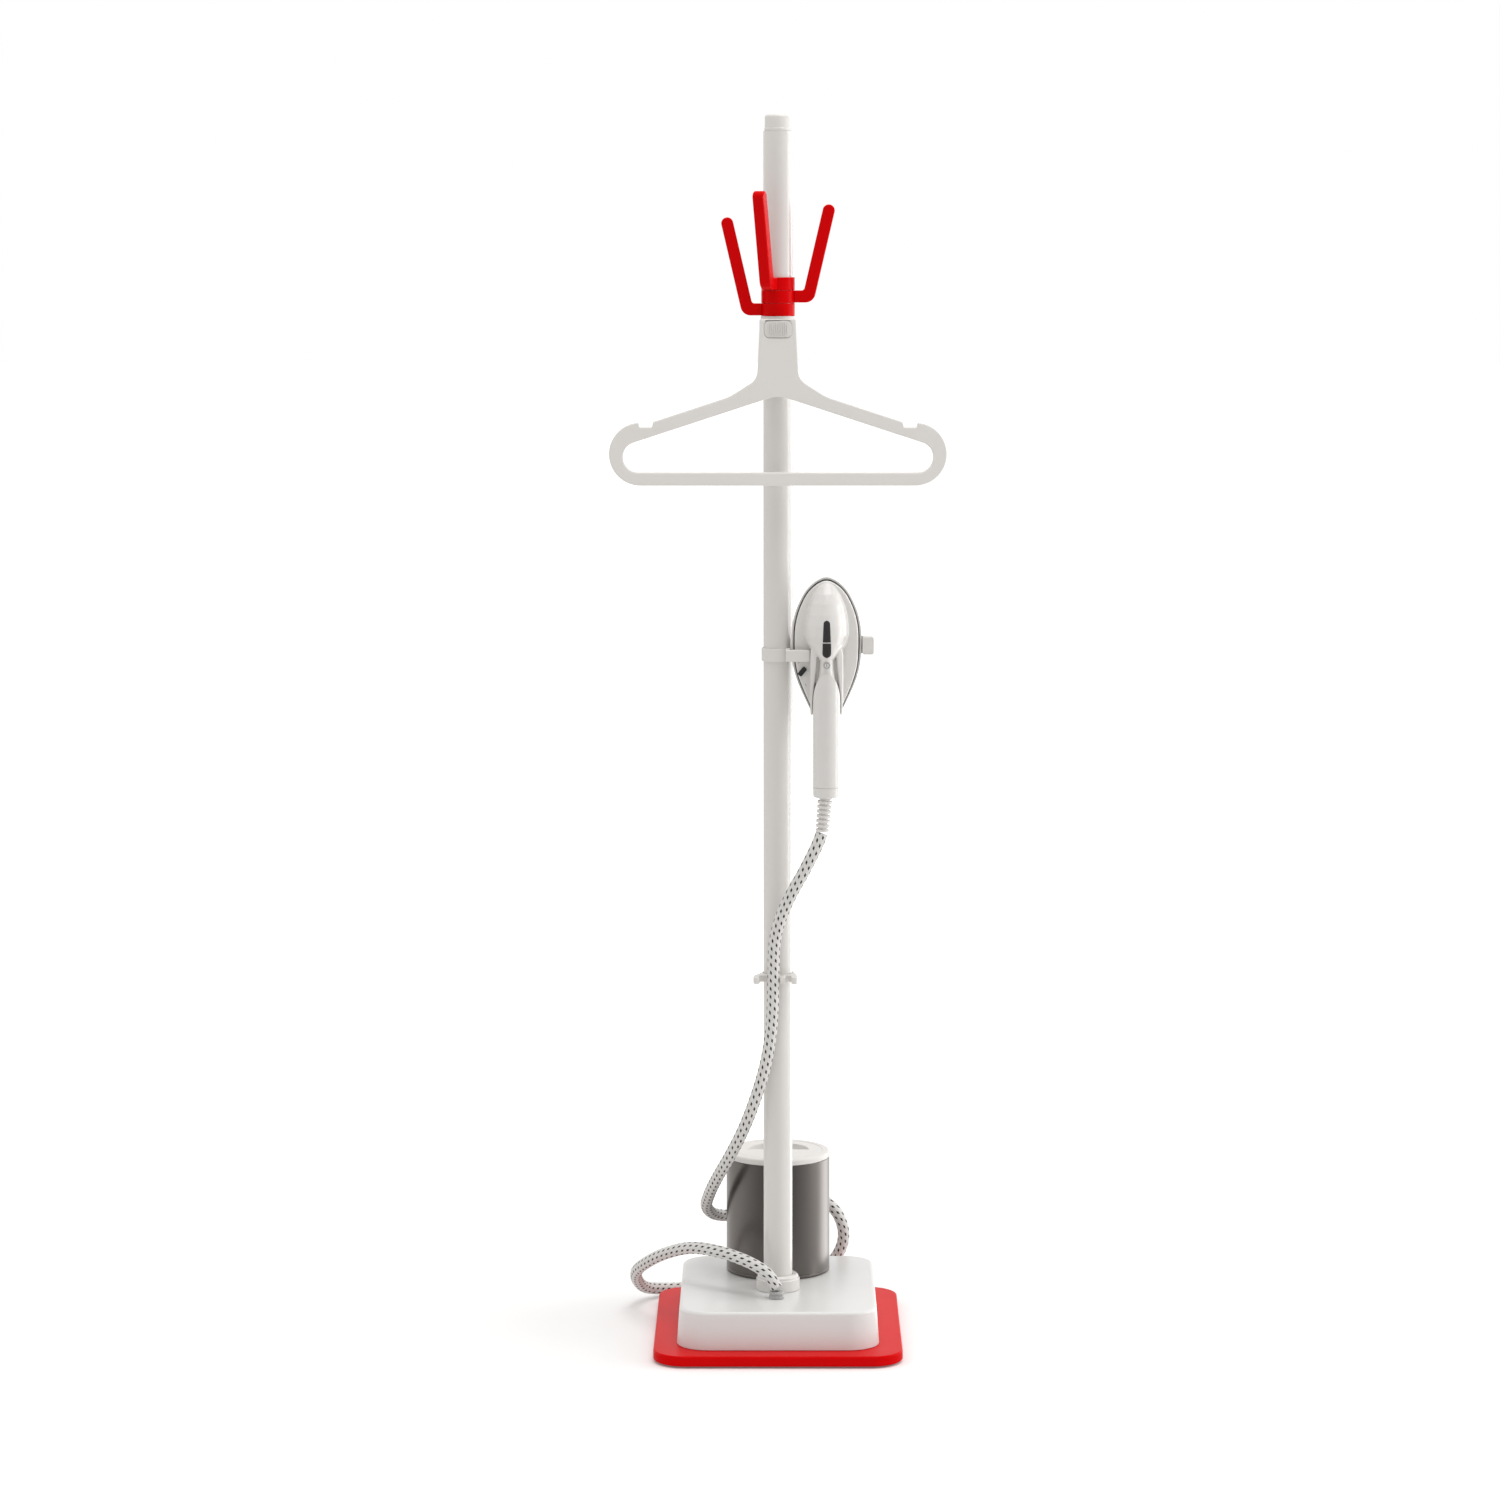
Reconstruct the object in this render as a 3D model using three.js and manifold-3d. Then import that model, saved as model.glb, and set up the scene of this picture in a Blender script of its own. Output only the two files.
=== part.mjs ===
// Upright garment steamer: a weighted base with boiler and lift-off water tank, a plug-together
// pole, a sliding hanger with three swinging hooks, and a steam handset in a cradle on a hose.
// Millimetres. +X is the viewer's right, +Y points away from the viewer, +Z is up. The origin is
// the centre of the base tray's footprint on the floor.
import * as THREE from "three";
import { mergeVertices } from "three/addons/utils/BufferGeometryUtils.js";
import Module from "manifold-3d";

const wasm = await Module();
wasm.setup();

// ---------------------------------------------------------------- driving dimensions

const GAP = 0.3; // running clearance between neighbouring pieces
const TOTAL_HEIGHT = 1600;

const TRAY = { width: 323, depth: 372, corner: 42, bottom: 2.5, top: 16, edge: 2 };
const FOOT = { radius: 11, stem: 4, inset: 34 };
const COVER = { width: 256, depth: 312, y: 3, draft: 3.5, corner: 38, top: 66, wall: 3 };
const BALLAST = { width: 224, depth: 240, thickness: 6 };

const POLE = { y: -26, radius: 19, wall: 1.5, foot: 22.6, jointLow: 485, jointHigh: 907 };
const CAP = { radius: 17.5, height: 21.4, plug: 18 };
const SPIGOT = { length: 80, wall: 2 };
const SOCKET = { radius: 28.6, sleeve: 24, top: 87, chamfer: 3 };

const TANK = { y: 84, radius: 69, wall: 2.5, bottom: 66.5, floor: 80, top: 221 };
const LID = { top: 229.5, plug: 63, recess: 41, recessFloor: 219 };

const CARRIAGE = { inner: 19.3, outer: 20.9, bottom: 1262, flange: 1338, top: 1343 };
const HOOK = { inner: 19.3, outer: 21.5, ring: 16.5, bar: 15.4, width: 14.8, elbow: 39.4 };
const HOOK_TIP = { radius: 65, height: 117.8 };
const HOOK_AZIMUTHS = { hook_lower: 180, hook_middle: 0, hook_upper: 249 };

const HANGER = { back: -32, thickness: 12, top: 1340.2, bottom: 1127.6, bevel: 1.4 };
const BUTTON = { halfWidth: 17, bottom: 1316.6, top: 1337.6, back: -36, proud: 1.6 };

// Depths of the handset, its cradle and the hose guide are measured from the pole's axis.
const HANDSET = { x: 62.5, soleBack: -13.5, soleFront: -19.5, skirtFront: -25.5, panelFront: -31.5 };
const DOME = { z: 945, width: 31, depth: 40, height: 60, wall: 2.5 };
const NECK = { radius: 14.5, top: 906 };
const HANDLE = { depth: -50, radius: 17.5, wall: 2.5, top: 868, seam: 739.5, bottom: 726.5 };
const HOSE_RADIUS = 8;

// The steam hose, from the handset's boot down past the guide, behind the tank to the floor,
// and round the left side up and over to the connector on top of the base.
const HOSE_ROUTE = [
  [56.5, -76, 679.3], [51, -77, 665], [35, -74, 632], [17, -68, 598], [4, -62, 568],
  [-4, -58, 535], [-6, -58, 485], [-7, -58, 445], [-10, -57, 408], [-17, -55, 369],
  [-29, -49, 327], [-45, -33, 282], [-63, -7, 241], [-80, 29, 204], [-92, 70, 171],
  [-96, 112, 144], [-83, 153, 124], [-53, 181, 118], [-16, 190, 127], [20, 188, 138],
  [50, 186, 141], [75, 187, 126], [88, 190, 101], [89, 196, 77], [79, 202, 53],
  [58, 207, 33], [28, 210, 17], [-15, 211, 9], [-75, 209, 9], [-125, 205, 9],
  [-157, 194, 11], [-181, 170, 19], [-191, 136, 38], [-190, 100, 59], [-176, 64, 79],
  [-150, 28, 100], [-115, -7, 116], [-80, -38, 119], [-53, -57, 115], [-29, -70, 107],
  [-12, -77, 96], [-2, -79, 80],
];

// ---------------------------------------------------------------- materials

function plastic(color, roughness = 0.4) {
  return new THREE.MeshStandardMaterial({ color, roughness, metalness: 0 });
}

function metal(color, roughness = 0.35) {
  return new THREE.MeshStandardMaterial({ color, roughness, metalness: 1 });
}

const WHITE = plastic(0xf2f1ee, 0.35);
const RED = plastic(0xe30f0a, 0.32);
const DARK = plastic(0x2b2b2d, 0.3);
const RUBBER = plastic(0x3a3a3c, 0.8);
const SEAL = plastic(0x77777a, 0.7);
const TRANSLUCENT = plastic(0xa9aaac, 0.25);
const BRAID = plastic(0xe9e7e2, 0.85);
const TANK_GREY = new THREE.MeshStandardMaterial({
  color: 0x77726d, roughness: 0.38, metalness: 0.55,
});
const BOARD = plastic(0x1f5a33, 0.5);
const STEEL = metal(0xb9bbbd, 0.35);
const ALUMINIUM = metal(0xc9cbcc, 0.45);
const BRASS = metal(0xc2a35a, 0.35);
const POLE_WHITE = plastic(0xefeeeb, 0.28);

// ---------------------------------------------------------------- solids

// A closed geometry as a manifold solid.
function solid(geometry) {
  const bare = geometry.index ? geometry.toNonIndexed() : geometry.clone();
  bare.deleteAttribute("normal");
  bare.deleteAttribute("uv");
  const merged = mergeVertices(bare, 1e-3);
  const made = new wasm.Manifold(
    new wasm.Mesh({
      numProp: 3,
      vertProperties: new Float32Array(merged.attributes.position.array),
      triVerts: new Uint32Array(merged.index.array),
    }),
  );
  if (made.volume() < 0) throw new Error("a solid is inside out");
  return made;
}

function geometryOf(made) {
  const mesh = made.getMesh();
  const count = mesh.numProp;
  const position = new Float32Array(mesh.numVert * 3);
  for (let i = 0; i < mesh.numVert; i++)
    position.set(mesh.vertProperties.subarray(i * count, i * count + 3), i * 3);
  return new THREE.BufferGeometry()
    .setAttribute("position", new THREE.BufferAttribute(position, 3))
    .setIndex(new THREE.BufferAttribute(new Uint32Array(mesh.triVerts), 1));
}

function box([x0, x1], [y0, y1], [z0, z1]) {
  const geometry = new THREE.BoxGeometry(x1 - x0, y1 - y0, z1 - z0);
  return solid(geometry.translate((x0 + x1) / 2, (y0 + y1) / 2, (z0 + z1) / 2));
}

// A solid of revolution about a vertical axis through (x, y), from [radius, z] corners.
function turned(profile, { x = 0, y = 0, segments = 24 } = {}) {
  const points = profile.map(([r, z]) => new THREE.Vector2(r, z));
  const onAxis = profile[0][0] === 0 && profile[profile.length - 1][0] === 0;
  if (!onAxis) points.push(points[0].clone());
  const geometry = new THREE.LatheGeometry(points, segments).rotateX(Math.PI / 2);
  return solid(geometry.translate(x, y, 0));
}

function cylinder(radius, z0, z1, place = {}) {
  return turned([[0, z0], [radius, z0], [radius, z1], [0, z1]], place);
}

function ring(inner, outer, z0, z1, place = {}) {
  return turned([[inner, z0], [outer, z0], [outer, z1], [inner, z1]], place);
}

function roundedRectangle(width, depth, corner, x = 0, y = 0) {
  const shape = new THREE.Shape();
  const [left, right] = [x - width / 2, x + width / 2];
  const [front, back] = [y - depth / 2, y + depth / 2];
  const turn = Math.PI / 2;
  shape.absarc(right - corner, front + corner, corner, -turn, 0);
  shape.absarc(right - corner, back - corner, corner, 0, turn);
  shape.absarc(left + corner, back - corner, corner, turn, 2 * turn);
  shape.absarc(left + corner, front + corner, corner, 2 * turn, 3 * turn);
  return shape;
}

function plate(shape, z0, z1, { bevel = 0, curveSegments = 4, bevelSegments = 1 } = {}) {
  const geometry = new THREE.ExtrudeGeometry(shape, {
    depth: z1 - z0 - 2 * bevel,
    bevelEnabled: bevel > 0,
    bevelThickness: bevel,
    bevelSize: bevel,
    bevelOffset: -bevel,
    bevelSegments,
    curveSegments,
  });
  return solid(geometry.translate(0, 0, z0 + bevel));
}

// An outline drawn in X and Z, extruded towards the viewer from depth `back` to `front`.
function upright(shape, back, front, options = {}) {
  const flat = plate(shape, 0, back - front, options);
  return flat.rotate([90, 0, 0]).translate([0, POLE.y + back, 0]);
}

function tube(points, radius, { steps = 24, sides = 8 } = {}) {
  const section = new THREE.Shape();
  for (let i = 0; i < sides; i++) {
    const angle = (2 * Math.PI * i) / sides;
    const [u, v] = [radius * Math.cos(angle), radius * Math.sin(angle)];
    if (i === 0) section.moveTo(u, v);
    else section.lineTo(u, v);
  }
  const path = new THREE.CatmullRomCurve3(points.map((p) => new THREE.Vector3(...p)));
  return solid(
    new THREE.ExtrudeGeometry(section, { steps, extrudePath: path, bevelEnabled: false }),
  );
}

// A coil spring standing on z = 0 on the Z axis.
function coil(radius, wire, height, turns) {
  const points = [];
  const count = turns * 6;
  for (let i = 0; i <= count; i++) {
    const angle = (2 * Math.PI * i) / 6;
    const z = wire + ((height - 2 * wire) * i) / count;
    points.push([radius * Math.cos(angle), radius * Math.sin(angle), z]);
  }
  return tube(points, wire, { steps: count, sides: 5 });
}

const root = new THREE.Group();

function place(name, made, material) {
  const mesh = new THREE.Mesh(geometryOf(made), material);
  mesh.name = name;
  root.add(mesh);
}

const ON_POLE = { x: 0, y: POLE.y };
const ON_TANK = { x: 0, y: TANK.y, segments: 32 };
const ON_DOCK = { ...ON_TANK, segments: 20 };

// ---------------------------------------------------------------- base

const BOLT = { shank: 4, head: 8, headZ: 5, nut: 7, nutTop: 35.5 };

function addTrayAndFeet() {
  const outline = roundedRectangle(TRAY.width, TRAY.depth, TRAY.corner);
  let tray = plate(outline, TRAY.bottom, TRAY.top, { bevel: TRAY.edge, bevelSegments: 2 });
  const reach = TRAY.bottom + 5;
  const corners = {
    foot_front_left: [-1, -1],
    foot_front_right: [1, -1],
    foot_rear_left: [-1, 1],
    foot_rear_right: [1, 1],
  };
  for (const [name, [sx, sy]] of Object.entries(corners)) {
    const spot = {
      x: sx * (TRAY.width / 2 - FOOT.inset),
      y: sy * (TRAY.depth / 2 - FOOT.inset),
      segments: 14,
    };
    tray = tray.subtract(cylinder(FOOT.stem + GAP, 0, reach + GAP, spot));
    const pad = TRAY.bottom - GAP;
    const profile = [
      [0, 0], [FOOT.radius, 0], [FOOT.radius, pad], [FOOT.stem, pad], [FOOT.stem, reach], [0, reach],
    ];
    place(name, turned(profile, spot), RUBBER);
  }
  tray = tray.subtract(cylinder(BOLT.head + GAP, 0, BOLT.headZ + 5 + GAP, ON_POLE));
  tray = tray.subtract(cylinder(BOLT.shank + GAP, 0, TRAY.top + 1, ON_POLE));
  place("base_tray", tray, RED);
}

// The cover's outside or inside: a block with rounded corners that narrows towards its top.
function coverBlock(inset, bottom, top, edge) {
  const levels = edge
    ? [[bottom, 0], [top - edge, 0], [top - edge * 0.45, edge * 0.22], [top, edge]]
    : [[bottom, 0], [top, 0]];
  const rings = levels.map(([z, pull]) => {
    const slope = (COVER.draft * (COVER.top - z)) / (COVER.top - TRAY.top);
    const grow = slope - inset - pull;
    const shape = roundedRectangle(
      COVER.width + 2 * grow, COVER.depth + 2 * grow, COVER.corner + grow, 0, COVER.y,
    );
    return shape.getPoints(4).map((p) => [p.x, p.y, z]);
  });
  return lofted(rings);
}

// A closed solid through rings of points that run anticlockwise seen from the far end.
function lofted(rings) {
  const count = rings[0].length;
  const position = rings.flat(2);
  const index = [];
  for (let r = 0; r + 1 < rings.length; r++)
    for (let i = 0; i < count; i++) {
      const [a, b] = [r * count + i, r * count + ((i + 1) % count)];
      index.push(a, b, b + count, a, b + count, a + count);
    }
  const last = (rings.length - 1) * count;
  for (let i = 1; i + 1 < count; i++) {
    index.push(0, i + 1, i);
    index.push(last, last + i, last + i + 1);
  }
  const geometry = new THREE.BufferGeometry();
  geometry.setAttribute("position", new THREE.Float32BufferAttribute(position, 3));
  geometry.setIndex(index);
  return solid(geometry);
}

const CONNECTOR = { x: -2, y: -79, radius: 9.75, stem: 7, top: 75.5 };
const GLAND = { x: -84, z: 40, radius: 9, shank: 6 };
const DOCK = { radius: 30, nozzle: 7.5, hole: 12, nozzleTop: 73 };

function addCover() {
  let cover = coverBlock(0, TRAY.top + GAP, COVER.top, 4);
  cover = cover.subtract(coverBlock(COVER.wall, TRAY.top, COVER.top - COVER.wall, 0));
  const reach = [COVER.top - 10, COVER.top + 5];
  cover = cover
    .subtract(cylinder(SOCKET.sleeve + GAP, ...reach, ON_POLE))
    .subtract(cylinder(CONNECTOR.stem + GAP, ...reach, CONNECTOR))
    .subtract(cylinder(DOCK.hole, ...reach, ON_DOCK));
  const bore = cylinder(GLAND.shank + GAP, 0, 60).rotate([-90, 0, 0]);
  cover = cover.subtract(bore.translate([GLAND.x, 130, GLAND.z]));
  place("base_cover", cover, WHITE);
}

function addGland() {
  const wallY = COVER.y + COVER.depth / 2;
  const profile = [
    [0, wallY - 12], [GLAND.radius, wallY - 12], [GLAND.radius, wallY - 5], [GLAND.shank, wallY - 5],
    [GLAND.shank, wallY + 3.5], [GLAND.radius, wallY + 3.5], [GLAND.radius - 2, wallY + 12],
    [0, wallY + 12],
  ];
  const gland = turned(profile, { segments: 20 }).rotate([-90, 0, 0]);
  const lead = cylinder(3.2, wallY - 20, wallY + 20, { segments: 12 }).rotate([-90, 0, 0]);
  place("cord_gland", gland.subtract(lead).translate([GLAND.x, 0, GLAND.z]), RUBBER);
}

function addConnector() {
  const { radius, stem, top } = CONNECTOR;
  const collar = COVER.top + GAP;
  const profile = [
    [0, 50], [stem, 50], [stem, collar], [radius, collar], [radius, top - 2], [radius - 1.5, top],
    [0, top],
  ];
  const spot = { x: CONNECTOR.x, y: CONNECTOR.y, segments: 24 };
  const bore = cylinder(4, 58, top + 1, { ...spot, segments: 12 });
  place("hose_connector", turned(profile, spot).subtract(bore), TRANSLUCENT);
}

function addBaseInside() {
  const floor = TRAY.top + GAP;
  const deck = floor + BALLAST.thickness;
  const ballastShape = roundedRectangle(BALLAST.width, BALLAST.depth, 20);
  const ballast = plate(ballastShape, floor, deck);
  place("ballast_plate", ballast.subtract(cylinder(BOLT.shank + GAP, 0, 40, ON_POLE)), STEEL);

  const stand = deck + GAP;
  const boilerShape = roundedRectangle(120, 56, 20, 0, -112);
  place("boiler", plate(boilerShape, stand, 48, { bevel: 2 }), ALUMINIUM);
  const loop = [[-48, -98, 51.6], [20, -98, 51.6], [42, -101, 51.6], [50, -112, 51.6]];
  const mirrored = loop.slice(0, 3).reverse().map(([x, y, z]) => [x, -224 - y, z]);
  place("boiler_element", tube([...loop, ...mirrored], 3.2, { steps: 14, sides: 6 }), STEEL);

  const pump = cylinder(16, -26, 26, { segments: 24 }).rotate([0, 90, 0]).translate([64, 40, 41]);
  const inlet = cylinder(5, 40, 54, { x: 46, y: 40 + 16, segments: 12 });
  const foot = box([48, 80], [26, 54], [stand, 29]);
  place("water_pump", pump.add(inlet).add(foot), RUBBER);

  const valve = box([-86, -54], [-66, -42], [stand, 46]);
  const valveCoil = cylinder(9, 45, 58, { x: -70, y: -54, segments: 20 });
  place("steam_valve", valve.add(valveCoil), BRASS);

  let board = box([-104, -34], [20, 100], [39, 40.6]);
  for (const x of [-98, -40])
    for (const y of [26, 94]) board = board.add(cylinder(3, stand, 40, { x, y, segments: 10 }));
  for (const [x, y] of [[-84, 50], [-58, 44], [-66, 78]])
    board = board.add(box([x - 8, x + 8], [y - 6, y + 6], [40, 52]));
  place("control_board", board, BOARD);

  const under = COVER.top - COVER.wall - GAP;
  const dock = turned([
    [0, 50], [DOCK.nozzle, 50], [DOCK.nozzle, under - 6], [DOCK.radius, under - 6],
    [DOCK.radius, under], [DOCK.nozzle, under], [DOCK.nozzle, DOCK.nozzleTop], [0, DOCK.nozzleTop],
  ], ON_DOCK);
  const well = cylinder(4, 56, DOCK.nozzleTop + 1, ON_DOCK);
  place("tank_dock", dock.subtract(well), SEAL);

  const steamRoute = [
    [-70, -66.5, 38], [-70, -76, 38], [-58, -81, 40], [-40, -80, 41], [-20, -79.5, 41],
    [-7, -79, 42], [-2, -79, 45.5], [-2, -79, 49.5],
  ];
  place("steam_pipe", tube(steamRoute, 3, { steps: 14, sides: 6 }), SEAL);
  const waterRoute = [
    [0, 84, 48.4], [1.5, 83, 44], [8, 80, 38], [20, 70, 34], [27, 56, 34], [29, 44, 38], [36.3, 40, 41],
  ];
  place("water_pipe", tube(waterRoute, 3, { steps: 14, sides: 6 }), TRANSLUCENT);
}

// ---------------------------------------------------------------- pole

function addPole() {
  const { radius, wall, foot, jointLow, jointHigh } = POLE;
  const inner = radius - wall;
  const top = TOTAL_HEIGHT - CAP.height;

  const sleeve = turned([
    [radius + GAP, foot], [SOCKET.sleeve, foot], [SOCKET.sleeve, COVER.top + GAP],
    [SOCKET.radius, COVER.top + GAP], [SOCKET.radius, SOCKET.top - SOCKET.chamfer],
    [SOCKET.radius - SOCKET.chamfer, SOCKET.top], [radius + GAP, SOCKET.top],
  ], ON_POLE);
  place("pole_socket", sleeve, WHITE);

  const lower = turned([
    [BOLT.shank + GAP, foot], [radius, foot], [radius, jointLow - GAP / 2],
    [inner, jointLow - GAP / 2], [inner, foot + 5], [BOLT.shank + GAP, foot + 5],
  ], ON_POLE);
  place("pole_lower", lower, POLE_WHITE);
  place("pole_middle", ring(inner, radius, jointLow + GAP / 2, jointHigh - GAP / 2, ON_POLE), POLE_WHITE);
  place("pole_upper", ring(inner, radius, jointHigh + GAP / 2, top - GAP, ON_POLE), POLE_WHITE);

  const bolt = turned([
    [0, BOLT.headZ], [BOLT.head, BOLT.headZ], [BOLT.head, BOLT.headZ + 5],
    [BOLT.shank, BOLT.headZ + 5], [BOLT.shank, foot + 5 + GAP], [BOLT.nut, foot + 5 + GAP],
    [BOLT.nut, BOLT.nutTop], [0, BOLT.nutTop],
  ], { ...ON_POLE, segments: 16 });
  const hexDriver = cylinder(3, 0, BOLT.headZ + 3, { ...ON_POLE, segments: 6 });
  place("pole_bolt", bolt.subtract(hexDriver), STEEL);

  const spigotOuter = inner - GAP;
  for (const [name, z] of [["spigot_lower", jointLow], ["spigot_upper", jointHigh]]) {
    const half = SPIGOT.length / 2;
    place(name, ring(spigotOuter - SPIGOT.wall, spigotOuter, z - half, z + half, ON_POLE), ALUMINIUM);
  }

  const cap = [
    [0, top - CAP.plug], [spigotOuter, top - CAP.plug], [spigotOuter, top], [CAP.radius, top],
    [CAP.radius, TOTAL_HEIGHT - 4], [CAP.radius - 1.2, TOTAL_HEIGHT - 1.4],
    [CAP.radius - 4, TOTAL_HEIGHT], [0, TOTAL_HEIGHT],
  ];
  place("pole_cap", turned(cap, ON_POLE), WHITE);
}

// A collar round the pole with a three-pronged fork in front of it; the hose lies between the
// left and middle prongs.
function addHoseGuide() {
  const [z0, z1] = [480, 489];
  let guide = ring(POLE.radius + GAP, 23.5, z0, z1, ON_POLE);
  const bridge = new THREE.Shape();
  bridge.moveTo(-32, -24);
  bridge.lineTo(-24, -24);
  bridge.quadraticCurveTo(-21, -22, -14, -20.5);
  bridge.lineTo(2, -22);
  bridge.lineTo(10, -22.5);
  bridge.lineTo(18, -22.5);
  bridge.lineTo(25.4, -24);
  bridge.quadraticCurveTo(25, -14, 18, -9);
  bridge.lineTo(-18, -9);
  bridge.quadraticCurveTo(-31, -14, -32, -24);
  guide = guide.add(plate(bridge, z0, z1).translate([0, POLE.y, 0]));
  for (const [x0, x1, tip] of [[-32, -24, -41], [2, 9, -38], [17.4, 25.4, -41]]) {
    const prong = roundedRectangle(x1 - x0, -tip - 18, 3.4, (x0 + x1) / 2, (tip - 18) / 2);
    guide = guide.add(plate(prong, z0, z1).translate([0, POLE.y, 0]));
  }
  guide = guide.subtract(cylinder(POLE.radius + GAP, z0 - 1, z1 + 1, ON_POLE));
  place("hose_guide", guide, WHITE);
}

// ---------------------------------------------------------------- handset cradle

const CLAMP = { bottom: 898.3, top: 915.6, outer: 21.5, split: 4.3, screwX: 29 };

// The cradle carries the front half of its collar; a rear half screws on behind the pole.
function addCradle() {
  const depth = (front, back) => [POLE.y + front, POLE.y + back];
  const { bottom, top, outer, split, screwX } = CLAMP;
  const middle = (bottom + top) / 2;
  const bore = cylinder(POLE.radius + GAP, bottom - 20, top + 30, ON_POLE);
  const collar = ring(POLE.radius + GAP, outer, bottom, top, ON_POLE);
  const alongY = (radius, front, back) =>
    cylinder(radius, front, back, { segments: 14 }).rotate([-90, 0, 0])
      .translate([screwX, POLE.y, middle]);
  const wholeWidth = [-outer - 20, outer + 20];

  const rear = collar
    .add(box([outer - 4, 35], depth(split + GAP, 9), [bottom, top]))
    .intersect(box(wholeWidth, depth(split + GAP, 40), [bottom, top]))
    .subtract(bore);
  place("cradle_clamp", rear.subtract(alongY(2.3, 0, 20)), WHITE);
  place("clamp_screw", alongY(2, -5, 9 + GAP).add(alongY(4, 9 + GAP, 12)), STEEL);

  const plateBack = HANDSET.soleBack + 4.3;
  const plateFront = HANDSET.soleBack + GAP;
  const front = -45.5;
  const cradle = collar
    .intersect(box(wholeWidth, depth(-40, split), [bottom, top]))
    .add(box([outer - 4, 35], depth(plateFront, split), [bottom, top]))
    .add(box([outer - 4, 122], depth(plateFront, plateBack), [bottom, 932]))
    .add(upright(roundedShape(HANDSET.x, 862, 24, 78, 3), plateBack, plateFront))
    .add(upright(roundedShape(HANDSET.x, 827.3, 28, 5, 2), plateBack, HANDSET.skirtFront))
    .add(upright(roundedShape(116.4, 920.5, 15.2, 23.2, 3.5), plateBack, HANDSET.skirtFront - 4))
    .add(upright(roundedShape(25.5, 908.7, 31, 15.4, 2), HANDSET.panelFront - 6, front))
    .add(box([10, 16.4], depth(front + 1, -14), [901, 916.4]))
    .subtract(bore)
    .subtract(alongY(2.3, -6, 20));
  place("cradle", cradle, WHITE);
}

function roundedShape(x, z, width, height, corner) {
  return roundedRectangle(width, height, corner, x, z);
}

// ---------------------------------------------------------------- hanger carriage and hooks

function addCarriage() {
  const { inner, outer, bottom, flange, top } = CARRIAGE;
  const profile = [
    [inner, bottom], [outer, bottom], [outer, flange], [outer + 1.1, flange], [outer + 1.1, top],
    [inner, top],
  ];
  place("carriage", turned(profile, ON_POLE), WHITE);
}

// One arm of a hook, drawn as radius from the pole's axis against height above its ring's foot.
function hookArmShape() {
  const half = HOOK.bar / 2;
  const mid = HOOK.ring / 2;
  const start = HOOK.inner + 1;
  const lean = Math.atan2(HOOK_TIP.radius - HOOK.elbow, HOOK_TIP.height - mid);
  const [along, across] = [[Math.sin(lean), Math.cos(lean)], [Math.cos(lean), -Math.sin(lean)]];
  // Where the leaning bar's side, `side` half-widths out, meets the level v.
  const crossing = (side, v) =>
    HOOK.elbow + side * half * across[0] +
    ((v - mid - side * half * across[1]) * along[0]) / along[1];
  const lower = mid - half;
  const upper = mid + half;
  const outerX = crossing(1, lower);
  const innerX = crossing(-1, upper);
  const shape = new THREE.Shape();
  shape.moveTo(start, lower);
  shape.lineTo(outerX - 9, lower);
  shape.quadraticCurveTo(outerX, lower, outerX + 9 * along[0], lower + 9 * along[1]);
  const tip = [HOOK_TIP.radius, HOOK_TIP.height];
  shape.lineTo(tip[0] + half * across[0], tip[1] + half * across[1]);
  shape.absarc(tip[0], tip[1], half, -lean, Math.PI - lean, false);
  shape.lineTo(innerX + 2 * along[0], upper + 2 * along[1]);
  shape.quadraticCurveTo(innerX, upper, innerX - 2, upper);
  shape.lineTo(start, upper);
  return shape;
}

function addHooks() {
  let foot = CARRIAGE.top + GAP;
  for (const [name, azimuth] of Object.entries(HOOK_AZIMUTHS)) {
    const height = HOOK.ring - GAP;
    const arm = plate(hookArmShape(), 0, HOOK.width, { bevel: 1.4, curveSegments: 3 })
      .rotate([90, 0, 0])
      .translate([0, HOOK.width / 2, 0]);
    const hook = ring(HOOK.inner, HOOK.outer, 0, height, {})
      .add(arm.subtract(box([0, 100], [-20, 20], [-5, 0])))
      .subtract(cylinder(HOOK.inner, -5, 30, {}))
      .subtract(box([0, HOOK.outer + 3], [-20, 20], [height, 20]));
    place(name, hook.rotate([0, 0, azimuth]).translate([0, POLE.y, foot]), RED);
    foot += HOOK.ring;
  }
}

// ---------------------------------------------------------------- hanger

const ARM_END = { x: 176, z: 1168, radius: 40.4 };
const ARM_HOLE = { x: 179, z: 1164, radius: 19.5 };
const ARM_SLOPE = 0.327;
const STRAP_NOTCH = { from: 161, to: 177, floor: 1202.6 };

function hangerShape() {
  const half = [];
  const armTop = (x) => 1209.6 + (159 - x) * ARM_SLOPE;
  const right = new THREE.Path();
  right.moveTo(0, HANGER.top);
  right.lineTo(20.9, HANGER.top);
  right.quadraticCurveTo(22.9, HANGER.top, 23, HANGER.top - 2);
  right.lineTo(26.6, 1266);
  right.lineTo(31, 1258);
  right.lineTo(62, armTop(62));
  right.lineTo(159, armTop(159));
  right.lineTo(STRAP_NOTCH.from, STRAP_NOTCH.floor);
  right.lineTo(STRAP_NOTCH.to, STRAP_NOTCH.floor);
  right.absarc(ARM_END.x, ARM_END.z, ARM_END.radius, 1.5, -Math.PI / 2, true);
  for (const p of right.getPoints(5)) half.push([p.x, p.y]);
  const left = half.slice(1).reverse().map(([x, z]) => [-x, z]);
  const shape = new THREE.Shape([...half, ...left].map(([x, z]) => new THREE.Vector2(x, z)));
  shape.holes.push(hangerHole());
  return shape;
}

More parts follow.
